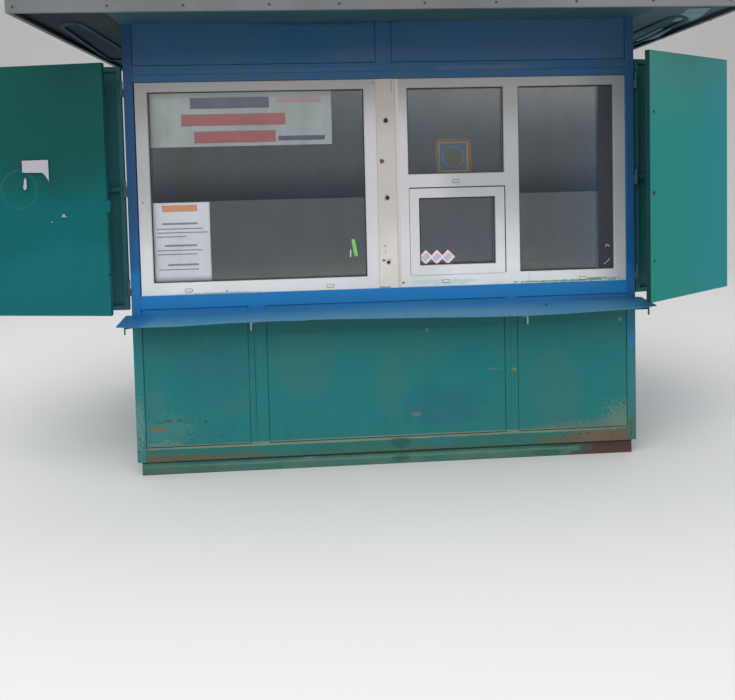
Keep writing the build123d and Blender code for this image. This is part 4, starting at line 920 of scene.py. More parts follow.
class KioskSizes(bpy.types.PropertyGroup):
    """Sizes of the fittings that scene pieces are made from."""
    screw_radius: bpy.props.FloatProperty(
        name="Fascia screw radius", description="Radius of the screw heads on the fascia",
        default=0.0065, min=0.002, unit="LENGTH")
    screw_pitch: bpy.props.FloatProperty(
        name="Fascia screw pitch", description="Distance between screws on the fascia",
        default=0.435, min=0.1, unit="LENGTH")
    gasket_width: bpy.props.FloatProperty(
        name="Gasket width", description="Visible width of the rubber round the glass",
        default=0.005, min=0.001, unit="LENGTH")
    shelf_lip: bpy.props.FloatProperty(
        name="Shelf lip", description="Height of the bent front edge of the shelf",
        default=0.004, min=0.001, unit="LENGTH")
    cap_width: bpy.props.FloatProperty(
        name="Drain cap width", description="Width of a drain cap on the window frames",
        default=0.036, min=0.01, unit="LENGTH")


class KioskStudio(bpy.types.PropertyGroup):
    """Light and floor of the studio."""
    floor_colour: bpy.props.FloatVectorProperty(
        name="Floor colour", description="Colour of the studio floor", subtype="COLOR",
        size=3, default=(0.7, 0.7, 0.7), min=0.0, max=1.0)
    sky_strength: bpy.props.FloatProperty(
        name="Sky strength", description="Strength of the even light all round",
        default=0.62, min=0.0)
    key_power: bpy.props.FloatProperty(
        name="Key light power", description="Power of the large soft lamp overhead",
        default=300.0, min=0.0, unit="POWER")
    lens: bpy.props.FloatProperty(
        name="Lens", description="Focal length of the camera", default=36.05,
        unit="CAMERA")


# ---------------------------------------------------------------- operators

class KIOSK_OT_finishes(bpy.types.Operator):
    """Gives every CAD node its weathered finish"""
    bl_idname = "kiosk.finishes"
    bl_label = "Paint and finishes"

    def execute(self, context):
        mats = make_materials()
        special = {
            "corner_posts": "post_paint_with_shade_and_glint", "lintel_rail": "lintel_paint_and_eave_shade",
            "upper_post": "upper_paint_and_eave_shade", "upper_panels": "upper_paint_and_eave_shade",
            "top_rails": "upper_paint_and_eave_shade", "lower_panels": "panel_paint_and_shelf_shade",
            "lower_posts": "panel_paint_and_shelf_shade", "bottom_rails": "rail_paint",
            "shelf_brackets": "bracket_paint", "window_coupler": "coupler_plastic_and_shade",
            "window_frame_right": "chipped_plastic_and_shade", "sign_board": "board",
            "door_handle": "handle_steel", "side_soffits": "side_soffit_paint_and_light",
            "shutter_right_inner": "shutter_paint", "shutter_right_outer": "leaf_right_paint_and_light",
            "shutter_left_inner": "shutter_paint", "shutter_left_outer": "leaf_left_paint_and_shade"}
        slots = {part["node"]: part["material_slot"] for part in frame["record"]["subparts"]}
        for name, made in frame["nodes"].items():
            finish = mats[special.get(name, slots[name])]
            made.data.materials.clear()
            made.data.materials.append(finish)
        return {"FINISHED"}


class KIOSK_OT_shelf(bpy.types.Operator):
    """Lays the two dented sheets of the counter shelf over its brackets"""
    bl_idname = "kiosk.shelf"
    bl_label = "Counter shelf sheets"

    def execute(self, context):
        lip = context.scene.kiosk_sizes.shelf_lip
        low, high = low_high("counter_shelf")
        over = 0.012
        left = shelf_sheet(low[0], SHELF_LAP + over, low, high, lip, 0.0)
        right = shelf_sheet(SHELF_LAP, high[0], low, high, lip, 0.0028)
        made = piece("shelf_sheet", joined(left, right), "kiosk",
                     "shelf_paint")
        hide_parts("counter_shelf")
        return {"FINISHED"}


SHELF_LAP = -0.456
SHELF_WALL = np.array([
    (-1.432, 0.893), (-1.380, 0.896), (-1.249, 0.897), (-1.035, 0.898), (-0.818, 0.901),
    (-0.491, 0.906), (-0.271, 0.910), (-0.077, 0.914), (0.173, 0.913), (0.398, 0.909),
    (0.624, 0.907), (0.851, 0.908), (1.080, 0.908), (1.282, 0.906), (1.380, 0.898),
    (1.432, 0.894)])
SHELF_EDGE = np.array([
    (-1.432, 0.8730), (-1.385, 0.8695), (-1.260, 0.8660), (-1.130, 0.8655), (-1.000, 0.8690),
    (-0.875, 0.8735), (-0.590, 0.8755), (-0.456, 0.8735), (-0.277, 0.8715), (-0.040, 0.8660),
    (0.199, 0.8615), (0.466, 0.8545), (0.610, 0.8525), (0.736, 0.8520), (0.917, 0.8555),
    (1.100, 0.8620), (1.250, 0.8665), (1.340, 0.8700), (1.400, 0.8760), (1.432, 0.8830)])


def smoothed(places, across):
    """Levels along the shelf: read off a list of places, each then the mean of the levels
    round it."""
    fine = np.linspace(places[0, 0], places[-1, 0], 400)
    levels = np.interp(fine, places[:, 0], places[:, 1])
    padded = np.concatenate([np.full(9, levels[0]), levels, np.full(9, levels[-1])])
    return np.interp(across, fine, np.convolve(padded, np.ones(19) / 19, "valid"))


def shelf_sheet(x0, x1, low, high, lip, lift):
    """A sloping sheet: its depth runs from the wall to the front edge, bends over and runs
    down the lip. The levels of its two edges are read from lists of places along the shelf
    and smoothed by averaging neighbours, and between them the level follows the depth."""
    across = np.linspace(x0, x1, 12 + int((x1 - x0) * 60))
    front_z = smoothed(SHELF_EDGE, across) + lip
    wall_z = smoothed(SHELF_WALL, across)[:, None]
    wall_y, front_y = high[1] - 0.0005, low[1] + 0.0016
    depth = np.array([0.0, 0.15, 0.32, 0.5, 0.68, 0.82, 0.92, 0.97, 0.99, 1.0, 1.0, 1.0])
    drop = np.array([0, 0, 0, 0, 0, 0, 0, 0.0, 0.0004, 0.0016, 0.5 * lip, lip])
    dents = 0.0016 * ripple(across[:, None] * 9, depth[None] * 5, 41)
    dents = dents * np.sin(np.pi * np.clip(depth, 0, 1))[None] ** 0.5
    grid_x = np.repeat(across[:, None], len(depth), 1)
    grid_y = np.repeat((wall_y + (front_y - wall_y) * depth)[None], len(across), 0)
    grid_z = wall_z + (front_z[:, None] - wall_z) * depth[None] - drop[None] + dents + lift
    points = np.stack([grid_x, grid_y, grid_z], -1)
    return slab(points, np.array([0, 0.0014, -0.0014]))


class KIOSK_OT_windows(bpy.types.Operator):
    """Adds the rubbers, drain caps and screws of the windows, with dark bars and rings of
    painted shade at the sash joints and round the caps
    """
    bl_idname = "kiosk.windows"
    bl_label = "Window fittings"

    def execute(self, context):
        sizes = context.scene.kiosk_sizes
        lights = window_lights()
        rubber = sizes.gasket_width
        profile = [(-rubber, 0.0005), (-rubber, -0.003), (-rubber * 0.4, -0.0045),
                   (0.0, -0.004), (0.0, 0.0005)]
        rings = [mitred_ring(low, high, depth, profile) for low, high, depth in lights]
        # Two dark rubber bars in the top and right joints of the hatch sash paint the shadow in
        # those joints.
        low, high = low_high("hatch_sash")
        front, width = low_high("window_frame_right")[0][1], 0.005
        near = high + 0.0015
        shade_bars_and_seals = [upright_bar(near[0], near[0] + width, front - 0.0006, front + 0.002, low[2],
                             near[2] + width),
                 upright_bar(low[0], near[0], front - 0.0006, front + 0.002, near[2],
                             near[2] + width)]
        piece("window_gaskets_and_shade_bars", joined(*rings, *shade_bars_and_seals), "kiosk",
              "rubber")
        cap = drain_cap(sizes.cap_width)
        face = low_high("window_frame_left")[0][1]
        low_left = low_high("window_frame_left")[0][2] + 0.023
        transom = low_high("hatch_sash")[1][2] + 0.036
        places = [(-1.092, face, low_left), (-0.321, face, low_left),
                  (0.325, face, low_left + 0.004), (1.101, face, low_left - 0.004),
                  (0.387, face, transom)]
        piece("drain_caps", copies(cap, places), "kiosk",
              "white_plastic")
        # A grey ring round each cap paints the shadow line at its edge.
        piece("drain_cap_shadow_rings", copies(drain_cap_shadow_ring(sizes.cap_width), places), "kiosk",
              "washer_steel")
        head = turned([(0, -0.0016), (0.002, -0.0014), (0.0034, -0.0006), (0.0036, 0.001),
                       (0, 0.001)], (0, 0, 0), (0, 1, 0), 12)
        spots = [(-1.3205, face, 1.503), (-0.059, face, 2.127), (0.085, face, 1.021),
                 (-0.887, face, 1.008), (-1.354, face, 1.22)]
        piece("frame_screws", copies(head, spots), "kiosk",
              "screw_steel", smooth=True)
        coupler = low_high("window_coupler")[0][1]
        piece("coupler_plug", plug((-0.0205, coupler, 1.698), 0.0128), "kiosk",
              "rusty_plug", smooth=True)
        low_z, middle_z, top_z = frame_levels()["bolts"]
        holes = [(0.006, top_z, 0.0122), (0.006, middle_z, 0.0112), (0.005, low_z, 0.0088),
                 (-0.015, 1.231, 0.0022), (-0.022, 1.153, 0.0022)]
        # Dark discs over the coupler's holes: painted shade of the holes.
        discs = [dark_disc((x, coupler, z), radius, (0, 1, 0)) for x, z, radius in holes]
        piece("coupler_holes", joined(*discs), "kiosk",
              "hole_shade")
        post = low_high("window_coupler")
        face = low_high("window_frame_left")[0][1]
        shade_bars_and_seals = [upright_bar(x0, x1, face + 0.0012, post[1][1], post[0][2] + 0.001,
                             post[1][2] - 0.001)
                 for x0, x1 in ((low_high("window_frame_left")[1][0], post[0][0]),
                                (post[1][0], low_high("window_frame_right")[0][0]))]
        piece("coupler_seals", joined(*shade_bars_and_seals), "kiosk",
              "sealant")
        self.film()
        return {"FINISHED"}


    def film(self):
        """A dark film stuck on the tall pane beside its right profile, with a white streak
        and flecks on it: a painted reflection of the dark right leaf."""
        opening = window_lights()[2]
        face = opening[2] - 0.0002
        low_z, high_z, edge = opening[0][1] + 0.0008, opening[1][1] - 0.0008, opening[1][0]
        u, v = np.meshgrid(np.linspace(edge - 0.080, edge - 0.0008, 5),
                           np.linspace(low_z, high_z, 41), indexing="ij")
        wavy = 0.0012 * ripple(v * 9, 0 * v, 33) * (edge - u) / 0.080
        film = np.stack([u + wavy, np.full_like(u, face), v], -1)
        piece("jamb_reflection_strip", slab(film, np.array([0, -0.0008, 0])), "kiosk",
              "reflection_film")
        front = face - 0.0010
        streak = tube([(edge - 0.053, front, 1.087), (edge - 0.037, front, 1.100),
                       (edge - 0.019, front, 1.118)], 0.0012)
        flecks = [speck_disc((x, front, z)) for x, z in
                  ((edge - 0.041, 1.190), (edge - 0.035, 1.198), (edge - 0.024, 1.192))]
        piece("jamb_reflection_marks", joined(streak, *flecks), "kiosk",
              "white_line")


def dark_disc(at, radius, axis):
    """A flat turned disc that stands a little proud of the face round a hole."""
    return turned([(0, -0.0006), (radius, -0.0006), (radius + 0.0006, 0.0006), (0, 0.0006)],
                  at, axis, 20)


def speck_disc(at):
    """A small turned fleck."""
    return turned([(0, -0.0006), (0.0035, -0.0003), (0.003, 0.0008), (0, 0.0008)], at,
                  (0, 1, 0), 9)


def upright_bar(x0, x1, y0, y1, z0, z1):
    """A filled joint: a grid across its face, moved back to its full depth."""
    u, v = np.meshgrid(np.array([x0, (x0 + x1) / 2, x1]), np.linspace(z0, z1, 25),
                       indexing="ij")
    return slab(np.stack([u, np.full_like(u, y0), v], -1), np.array([0, y1 - y0, 0]))


def plug(at, radius):
    """A rough disc: its radius wavers round the turn, and it swells towards the middle."""
    turn = np.linspace(0, 2 * np.pi, 28, endpoint=False)
    waver = 1 + 0.12 * np.sin(3 * turn + 0.6) + 0.08 * np.sin(7 * turn)
    out = np.array([0.0, 0.35, 0.7, 0.92, 1.0, 1.0])
    rise = np.array([-0.0022, -0.0021, -0.0016, -0.0011, -0.0002, 0.001])
    x = at[0] + radius * out[:, None] * waver[None] * np.cos(turn)[None]
    z = at[2] + radius * out[:, None] * waver[None] * np.sin(turn)[None]
    y = at[1] + np.repeat(rise[:, None], len(turn), 1)
    centre = np.repeat(np.array([[[at[0], at[1] + 0.001, at[2]]]]), len(turn), 1)
    points = np.concatenate([np.stack([x, y, z], -1), centre])
    return points.reshape(-1, 3), grid_faces(7, len(turn), close_columns=True)


def window_lights():
    """Sight openings of the four lights, with the depth of the glass behind each."""
    left = low_high("window_frame_left")
    right = low_high("window_frame_right")
    sash = low_high("hatch_sash")
    pane = low_high("glass_left")[0][1]
    hatch_pane = low_high("glass_hatch")[0][1]
    lip, head, bead = 0.066, 0.052, 0.016
    tall = right[1][0] - lip - 0.538
    transom = low_high("window_frame_right")[0][2] + lip + 0.482
    top = right[1][2] - head
    hatch = low_high("glass_hatch")
    return [
        ((left[0][0] + lip, left[0][2] + lip), (left[1][0] - lip, top), pane),
        ((right[0][0] + lip, transom + 0.078), (tall - 0.085, top), pane),
        ((tall, right[0][2] + lip), (right[1][0] - lip, top), pane),
        ((hatch[0][0] + bead - 0.002, hatch[0][2] + bead - 0.002),
         (hatch[1][0] - bead + 0.002, hatch[1][2] - bead + 0.002),
         hatch_pane),
    ]


def rounded_ring(width, height, count=24):
    """Places round a rounded rectangle: cosine and sine, each raised to a small power."""
    turn = np.linspace(0, 2 * np.pi, count, endpoint=False)
    power = 0.35
    x = np.sign(np.cos(turn)) * np.abs(np.cos(turn)) ** power * width / 2
    z = np.sign(np.sin(turn)) * np.abs(np.sin(turn)) ** power * height / 2
    return x, z


def drain_cap(width):
    """A small hood: a rounded rectangle whose sides draw in as it rises from the frame."""
    x, z = rounded_ring(width, width * 0.38)
    scale = np.array([1.0, 1.0, 0.95, 0.84, 0.0])[:, None]
    rise = np.array([0.0005, -0.0022, -0.0038, -0.0044, -0.0044])[:, None]
    points = np.stack([scale * x[None], rise + 0 * x[None], scale * z[None]], -1)
    return points.reshape(-1, 3), grid_faces(5, len(x), close_columns=True)


def drain_cap_shadow_ring(width):
    """A painted shadow line round a hood: a flat ring between two rounded rectangles."""
    x, z = rounded_ring(width + 0.0052, width * 0.38 + 0.0052)
    inner_x, inner_z = rounded_ring(width - 0.004, width * 0.38 - 0.004)
    rings = [(x, -0.0006, z), (inner_x, -0.0006, inner_z), (inner_x, 0.0006, inner_z),
             (x, 0.0006, z)]
    points = np.stack([np.stack([a, np.full_like(a, b), c], -1) for a, b, c in rings])
    return points.reshape(-1, 3), grid_faces(4, len(x), True, True)


class KIOSK_OT_fascia(bpy.types.Operator):
    """Drives the screws along the fascias"""
    bl_idname = "kiosk.fascia"
    bl_label = "Fascia screws"

    def execute(self, context):
        sizes = context.scene.kiosk_sizes
        low, high = low_high("fascia_long")
        low_side, high_side = low_high("fascia_side")
        r = sizes.screw_radius
        dome = [(0, -0.0030), (r * 0.5, -0.0027), (r * 0.85, -0.0016), (r, -0.0006),
                (r, 0.001), (0, 0.001)]
        level_z = low[2] + 0.028
        xs = np.array([-1.79, -1.352, -0.994, -0.584, -0.245, 0.172, 0.527, 0.93, 1.32, 1.72])
        front = copies(turned(dome, (0, 0, 0), (0, 1, 0)),
                       [(x, low[1], level_z) for x in xs])
        back_xs = np.arange(low[0] + 0.05, high[0], sizes.screw_pitch)
        back = copies(turned(dome, (0, 0, 0), (0, -1, 0)),
                      [(x, high[1], level_z) for x in back_xs])
        ys = np.linspace(low[1] + 0.08, high[1] - 0.08, 7)
        left = copies(turned(dome, (0, 0, 0), (1, 0, 0)),
                      [(low_side[0], y, level_z) for y in ys])
        right = copies(turned(dome, (0, 0, 0), (-1, 0, 0)),
                       [(high_side[0], y, level_z) for y in ys])
        piece("fascia_screws", joined(front, back, left, right), "kiosk",
              "screw_steel", smooth=True)
        return {"FINISHED"}


class KIOSK_OT_notices(bpy.types.Operator):
    """Hangs the picture, the painted board, the sheet and the stickers"""
    bl_idname = "kiosk.notices"
    bl_label = "Things behind the glass"

    def execute(self, context):
        self.picture()
        self.sheet()
        self.board()
        self.stickers()
        return {"FINISHED"}

    def picture(self):
        """The small framed picture: two mouldings round a plain blue panel and a bloom."""
        low, high = low_high("framed_picture")
        ring = [(0.0, 0.0), (-0.002, -0.0), (-0.006, 0.004), (-0.009, 0.002),
                (-0.013, 0.006), (-0.019, 0.012), (-0.019, 0.018), (0.0, 0.018)]
        made = piece("picture_frame",
                     mitred_ring((low[0], low[2]), (high[0], high[2]), low[1] + 0.0002, ring),
                     "kiosk", "gilt_wood")
        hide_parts("framed_picture")
        inner = [(-0.0185, 0.0118), (-0.021, 0.0100), (-0.024, 0.0106), (-0.0265, 0.0126),
                 (-0.0265, 0.016), (-0.0185, 0.016)]
        piece("picture_slip",
              mitred_ring((low[0], low[2]), (high[0], high[2]), low[1] + 0.0002, inner),
              "kiosk", "gilt_light")
        x, z = np.meshgrid(np.linspace(low[0] + 0.018, high[0] - 0.018, 9),
                           np.linspace(low[2] + 0.018, high[2] - 0.018, 9))
        panel = np.stack([x, np.full_like(x, low[1] + 0.0145), z], -1)
        piece("picture_panel", slab(panel, np.array([0, 0.002, 0])), "kiosk",
              "enamel_blue")
        centre = ((low[0] + high[0]) / 2, low[1] + 0.0143, (low[2] + high[2]) / 2)
        piece("picture_flower", flower(centre), "kiosk",
              "enamel_leaf", smooth=True)
        halo = turned([(0.0565, -0.0012), (0.0590, -0.0012), (0.0590, 0.0006),
                       (0.0565, 0.0006), (0.0565, -0.0012)], centre, (0, 1, 0), 48)
        piece("picture_ring", halo, "kiosk", "gilt_light")

    def sheet(self):
        """The white sheet taped inside the left pane: a header patch and plain bars."""
        back = low_high("glass_left")[1][1]
        piece("notice_sheet", paper_sheet(-1.290, -0.972, 1.062, 1.497, back + 0.0006, 3),
              "kiosk", "paper", smooth=True)
        piece("notice_header", paper_sheet(-1.228, -1.040, 1.448, 1.484, back + 0.0003, 5),
              "kiosk", "ink_orange", smooth=True)
        bold = [(-1.232, -1.040, 1.382), (-1.222, -1.046, 1.262), (-1.206, -1.040, 1.156)]
        thin = [(-1.262, -1.015, 1.354), (-1.262, -0.985, 1.333), (-1.262, -1.104, 1.311),
                (-1.262, -1.020, 1.236), (-1.262, -1.048, 1.214), (-1.256, -1.040, 1.130)]
        bars = [paper_sheet(a, b, z - 0.0055, z + 0.0055, back + 0.0003, 7 + i)
                for i, (a, b, z) in enumerate(bold)]
        bars += [paper_sheet(a, b, z - 0.003, z + 0.003, back + 0.0003, 17 + i)
                 for i, (a, b, z) in enumerate(thin)]
        piece("notice_lines", joined(*bars), "kiosk", "ink_grey")

    def board(self):
        """Plain painted bands on the board, where the real one carries words."""
        board_y = low_high("sign_board")[0][1] - 0.0008
        bands = [("board_band_blue", [(-1.062, -0.632, 2.008, 2.068)], "ink_blue"),
                 ("board_bands_red", [(-1.112, -0.545, 1.914, 1.978),
                                      (-1.044, -0.600, 1.820, 1.884)], "ink_red"),
                 ("board_band_pale_red", [(-0.592, -0.347, 2.034, 2.060)], "ink_pale_red"),
                 ("board_band_low", [(-0.585, -0.330, 1.826, 1.852)], "ink_blue")]
        for index, (name, places, ink) in enumerate(bands):
            strips = [paper_sheet(*edges, board_y, 21 + 3 * index + k)
                      for k, edges in enumerate(places)]
            piece(name, joined(*strips), "kiosk", ink)

    def stickers(self):
        """Three square stickers on their corners, each with a rim and plain lines, and a
        strip of green tape with a white one beside it."""
        pane = low_high("glass_hatch")[0][1]
        lines = []
        for index, x_at in enumerate((0.215, 0.277, 0.339)):
            z_at = 1.158 - 0.001 * index
            rise = 0.0002 * index
            piece(f"sticker_edge_{index}", diamond(x_at, z_at, 0.0430, pane - 0.0006 - rise),
                  "kiosk", "ink_orange")
            piece(f"sticker_{index}", diamond(x_at, z_at, 0.0385, pane - 0.0010 - rise),
                  "kiosk", "paper")
            for step_at in (-0.0165, -0.0085, 0.0, 0.0085, 0.0165):
                lines.append(slanting_line(x_at, z_at, step_at, pane - 0.0014 - rise))
        piece("sticker_lines", joined(*lines), "kiosk",
              "ink_pale_blue")
        front = low_high("glass_left")[0][1] - 0.0006
        tilt = 0.016
        piece("green_tape", leaning_strip(-0.189, 1.272, 1.177, 0.021, tilt, front), "kiosk",
              "green_tape")
        piece("white_tape", leaning_strip(-0.203, 1.212, 1.172, 0.006, -0.002, front), "kiosk",
              "white_line")


def slanting_line(x_at, z_at, offset, y):
    """A thin strip parallel to a sticker's falling side, moved along its rising side."""
    u, v = np.meshgrid(np.linspace(-0.017, 0.017, 7), np.array([-0.0016, 0.0016]),
                       indexing="ij")
    along, over = np.array([0.7071, -0.7071]), np.array([0.7071, 0.7071])
    x = x_at + u * along[0] + (v + offset) * over[0]
    z = z_at + u * along[1] + (v + offset) * over[1]
    points = np.stack([x, np.full_like(x, y), z], -1)
    return slab(points, np.array([0, 0.0002, 0]))


def leaning_strip(x_top, z_top, z_low, width, lean, y):
    """A strip of tape: it runs from its top to its foot while it moves aside by lean, and
    its width draws in a little at both ends."""
    u, v = np.meshgrid(np.linspace(-0.5, 0.5, 5), np.linspace(0, 1, 13), indexing="ij")
    narrowing = 1 - 0.18 * np.abs(2 * v - 1) ** 3
    x = x_top + lean * v + width * u * narrowing
    z = z_top + (z_low - z_top) * v + 0.001 * np.sin(9 * u)
    points = np.stack([x, np.full_like(x, y), z], -1)
    return slab(points, np.array([0, 0.0002, 0]))


def flower(centre):
    """A plain round bloom: its edge is a circle whose radius swells eight times round, and
    it rises towards the middle."""
    turn = np.linspace(0, 2 * np.pi, 64, endpoint=False)
    out = np.linspace(0, 1, 10)[:, None]
    radius = 0.052 * out * (1 + 0.16 * np.cos(8 * turn)[None])
    x = centre[0] + radius * np.cos(turn)[None]
    z = centre[2] + radius * np.sin(turn)[None]
    y = centre[1] - 0.004 * (1 - out ** 2) - 0.0012 * np.cos(8 * turn)[None] * out
    front = np.stack([x, np.broadcast_to(y, x.shape), z], -1)
    back = front[::-1] * [1, 0, 1] + [0, centre[1] + 0.0004, 0]
    points = np.concatenate([front, back])
    return points.reshape(-1, 3), grid_faces(20, 64, close_columns=True)


def paper_sheet(x0, x1, z0, z1, y, seed):
    """A thin sheet lying in an upright plane, whose edges waver by under a millimetre."""
    u, v = np.meshgrid(np.linspace(0, 1, 25), np.linspace(0, 1, 13), indexing="ij")
    x = x0 + (x1 - x0) * u + 0.0007 * ripple(v * 9, u * 5, seed)
    z = z0 + (z1 - z0) * v + 0.0007 * ripple(u * 11, v * 4, seed + 1)
    points = np.stack([x, np.full_like(x, y), z], -1)
    return slab(points, np.array([0, 0.0002, 0]))


def diamond(x_at, z_at, size, y):
    """A square sheet stood on its corner: the two parameters run along its slanting sides."""
    u, v = np.meshgrid(np.linspace(-1, 1, 9), np.linspace(-1, 1, 9), indexing="ij")
    x = x_at + size * (u - v) / 2
    z = z_at + size * (u + v) / 2
    points = np.stack([x, np.full_like(x, y), z], -1)
    return slab(points, np.array([0, 0.0002, 0]))


class KIOSK_OT_leaf_marks(bpy.types.Operator):
    """Sticks the torn paper on the left shutter and marks the bolt holes of the right one"""
    bl_idname = "kiosk.leaf_marks"
    bl_label = "Torn paper"

    def execute(self, context):
        paper = "torn_paper"
        piece("leaf_paper", on_leaf(*torn_sheet()), "left_outer_leaf", paper)
        piece("leaf_paper_scrap", on_leaf(*torn_scrap()), "left_outer_leaf",
              paper)
        specks = [on_leaf(*speck(x, z, r)) for x, z, r in
                  ((-1.7017, 1.450, 0.011), (-1.694, 1.446, 0.007), (-1.709, 1.446, 0.006),
                   (-1.7686, 1.4195, 0.004))]
        piece("leaf_specks", joined(*specks), "left_outer_leaf", paper)
        self.bolt_holes()
        return {"FINISHED"}


    def bolt_holes(self):
        """Dark discs at the three bolt holes near the right leaf's free end, painted shade of
        the holes: the end's distance less the inset gives the place along the leaf, and the
        vertices near the end give its face."""
        node = "shutter_right_outer"
        along, end = free_end(node)
        along = np.array(along)
        normal = np.array([along[1], -along[0], 0.0])
        normal = normal if normal[1] < 0 else -normal
        points = np.array([v.co for v in frame["nodes"][node].data.vertices])
        face = float((points[points @ along > end - 0.05] @ normal).max())
        discs = []
        for z, radius in zip(frame_levels()["bolts"], (0.0072, 0.0108, 0.0078)):
            at = along * (end - 0.036) + normal * face + np.array([0, 0, z])
            discs.append(dark_disc(at, radius, -normal))
        piece("leaf_bolt_holes", joined(*discs), "right_outer_leaf",
              "hole_shade")


LEAF_AT, LEAF_SLOPE = (-1.4695, -1.1456), -0.18359


def on_leaf(x, z):
    """A thin sheet on the face of the open left leaf: the leaf's line gives the depth at
    every x, and the sheet's front stands off it by its thickness."""
    normal = np.array([LEAF_SLOPE, -1.0, 0.0]) / math.hypot(LEAF_SLOPE, 1.0)
    face = np.stack([x, LEAF_AT[1] + (x - LEAF_AT[0]) * LEAF_SLOPE, z], -1)
    return slab(face + normal * 0.0006, -normal * 0.0005)


def torn_sheet():
    """A sheet whose lower edge is torn: the edge level sinks in small steps and then falls
    away along the right side, with fine ripples on it."""
    u, v = np.meshgrid(np.linspace(0, 1, 49), np.linspace(0, 1, 9), indexing="ij")
    top = 1.7435 + 0.001 * u
    torn = 1.681 - 0.004 * u - 0.046 * np.clip((u - 0.76) / 0.24, 0, 1) ** 1.4
    torn = torn + 0.0022 * ripple(u * 34, 0 * u, 5) + 0.0016 * ripple(u * 90, 0 * u, 6)
    x = -1.9185 + 0.1435 * u + 0.001 * ripple(v * 9, 0 * v, 7)
    return x, torn + (top - torn) * v


def torn_scrap():
    """A narrow scrap: its half width follows a lopsided arch between two points."""
    u, v = np.meshgrid(np.linspace(-1, 1, 7), np.linspace(0.0, 1, 21), indexing="ij")
    half = 0.0095 * np.sin(np.pi * (0.04 + 0.92 * v) ** 0.8) * (1 + 0.25 * np.sin(9 * v))
    x = -1.9085 + half * u + 0.004 * v + 0.001 * np.sin(21 * v) * u
    return x, 1.590 + 0.062 * v


def speck(x_at, z_at, radius):
    """A ragged speck: a disc whose radius wavers three and five times round."""
    turn, out = np.meshgrid(np.linspace(0, 2 * np.pi, 19), np.linspace(0.02, 1, 4),
                            indexing="ij")
    size = radius * out * (1 + 0.25 * np.sin(3 * turn + x_at * 50) + 0.15 * np.sin(5 * turn))
    return x_at + size * np.cos(turn), z_at + 0.7 * size * np.sin(turn)


class KIOSK_OT_ironwork(bpy.types.Operator):
    """Welds the hinges, fits the door lock and screws the roof down"""
    bl_idname = "kiosk.ironwork"
    bl_label = "Welds, lock and roof screws"

    def execute(self, context):
        post = low_high("corner_posts")
        hinge = low_high("shutter_hinge_posts")
        top, low = hinge[1][2], hinge[0][2]
        middle = (top + low) / 2
        beads = []
        for side in (-1, 1):
            x = post[1][0] * side + side * 0.0016
            for z0 in (low, middle - 0.0205, top - 0.078):
                z = np.linspace(z0 + 0.002, z0 + 0.040, 9)
                path = np.stack([np.full(9, x), np.full(9, post[0][1] + 0.0016), z], -1)
                beads.append(bead(path, 0.0028))
        piece("hinge_welds", joined(*beads), "kiosk",
              "hinge_steel", smooth=True)
        self.lock()
        self.roof()
        return {"FINISHED"}

    def lock(self):
        """A long escutcheon below the pull handle, with the lock cylinder in it."""
        low, high = low_high("door_handle")
        leaf_x = low_high("door_leaf")[0][0]
        y, z = (low[1] + high[1]) / 2, low[2] - 0.075
        ring_y, ring_z = rounded_ring(0.032, 0.105, 32)
        scale = np.array([0.0, 1.0, 1.0, 0.93, 0.0])[:, None]
        rise = np.array([0.001, 0.001, -0.0022, -0.003, -0.003])[:, None]
        points = np.stack([leaf_x + rise + 0 * ring_y[None], y + scale * ring_y[None],
                           z + scale * ring_z[None]], -1).reshape(-1, 3)
        piece("lock_plate", (points, grid_faces(5, 32, close_columns=True)), "kiosk",
              "handle_steel")
        barrel = turned([(0, -0.009), (0.007, -0.009), (0.0085, -0.0078), (0.0085, 0.0),
                         (0, 0.0)], (leaf_x - 0.002, y, z + 0.012), (1, 0, 0), 24)
        # The keyway is a thin dark disc on the barrel's face: painted shade of the slot.
        slot = turned([(0, -0.0096), (0.0016, -0.0096), (0.0016, -0.0085), (0, -0.0085)],
                      (leaf_x - 0.002, y, z + 0.012), (1, 0, 0), 8)
        piece("lock_cylinder", barrel, "kiosk", "handle_steel")
        piece("lock_keyway", slot, "kiosk", "hole_shade")

    def roof(self):
        """Screws with washers along the front and back of the roof, between its seams."""
        low, high = low_high("roof_sheet")
        ridge = high[2] - 0.022
        foot = low_high("fascia_long")[1][2] + 0.003
        y_front, y_back = low[1] + 0.06, high[1] - 0.06
        slope = (foot - ridge) / (high[1] - low[1])
        pitch = (high[0] - low[0] - 0.006) / 6
        xs = [low[0] + pitch * (i + f) for i in range(6) for f in (0.25, 0.5, 0.75)]
        spots = [(x, y, ridge + slope * (y - low[1]))
                 for x in xs for y in (y_front, (y_front + y_back) / 2, y_back)]
        washer = turned([(0, 0.0022), (0.006, 0.0022), (0.0088, 0.0010), (0.0095, -0.001),
                         (0, -0.001)], (0, 0, 0), (0, 0, 1), 14)
        head = turned([(0, 0.0072), (0.0040, 0.0072), (0.0046, 0.0064), (0.0046, 0.0012),
                       (0, 0.0012)], (0, 0, 0), (0, 0, 1), 6)
        piece("roof_washers", copies(washer, spots), "kiosk",
              "washer_steel")
        piece("roof_screws", copies(head, spots), "kiosk",
              "screw_steel")


def bead(path, radius):
    """A weld bead: a round rod whose radius swells and shrinks from ripple to ripple."""
    points, faces = tube(path, radius, 8)
    rings = points.reshape(-1, 8, 3)
    middle = rings.mean(1, keepdims=True)
    swell = 1 + 0.22 * np.sin(np.arange(len(rings)) * 2.1)
    return (middle + (rings - middle) * swell[:, None, None]).reshape(-1, 3), faces


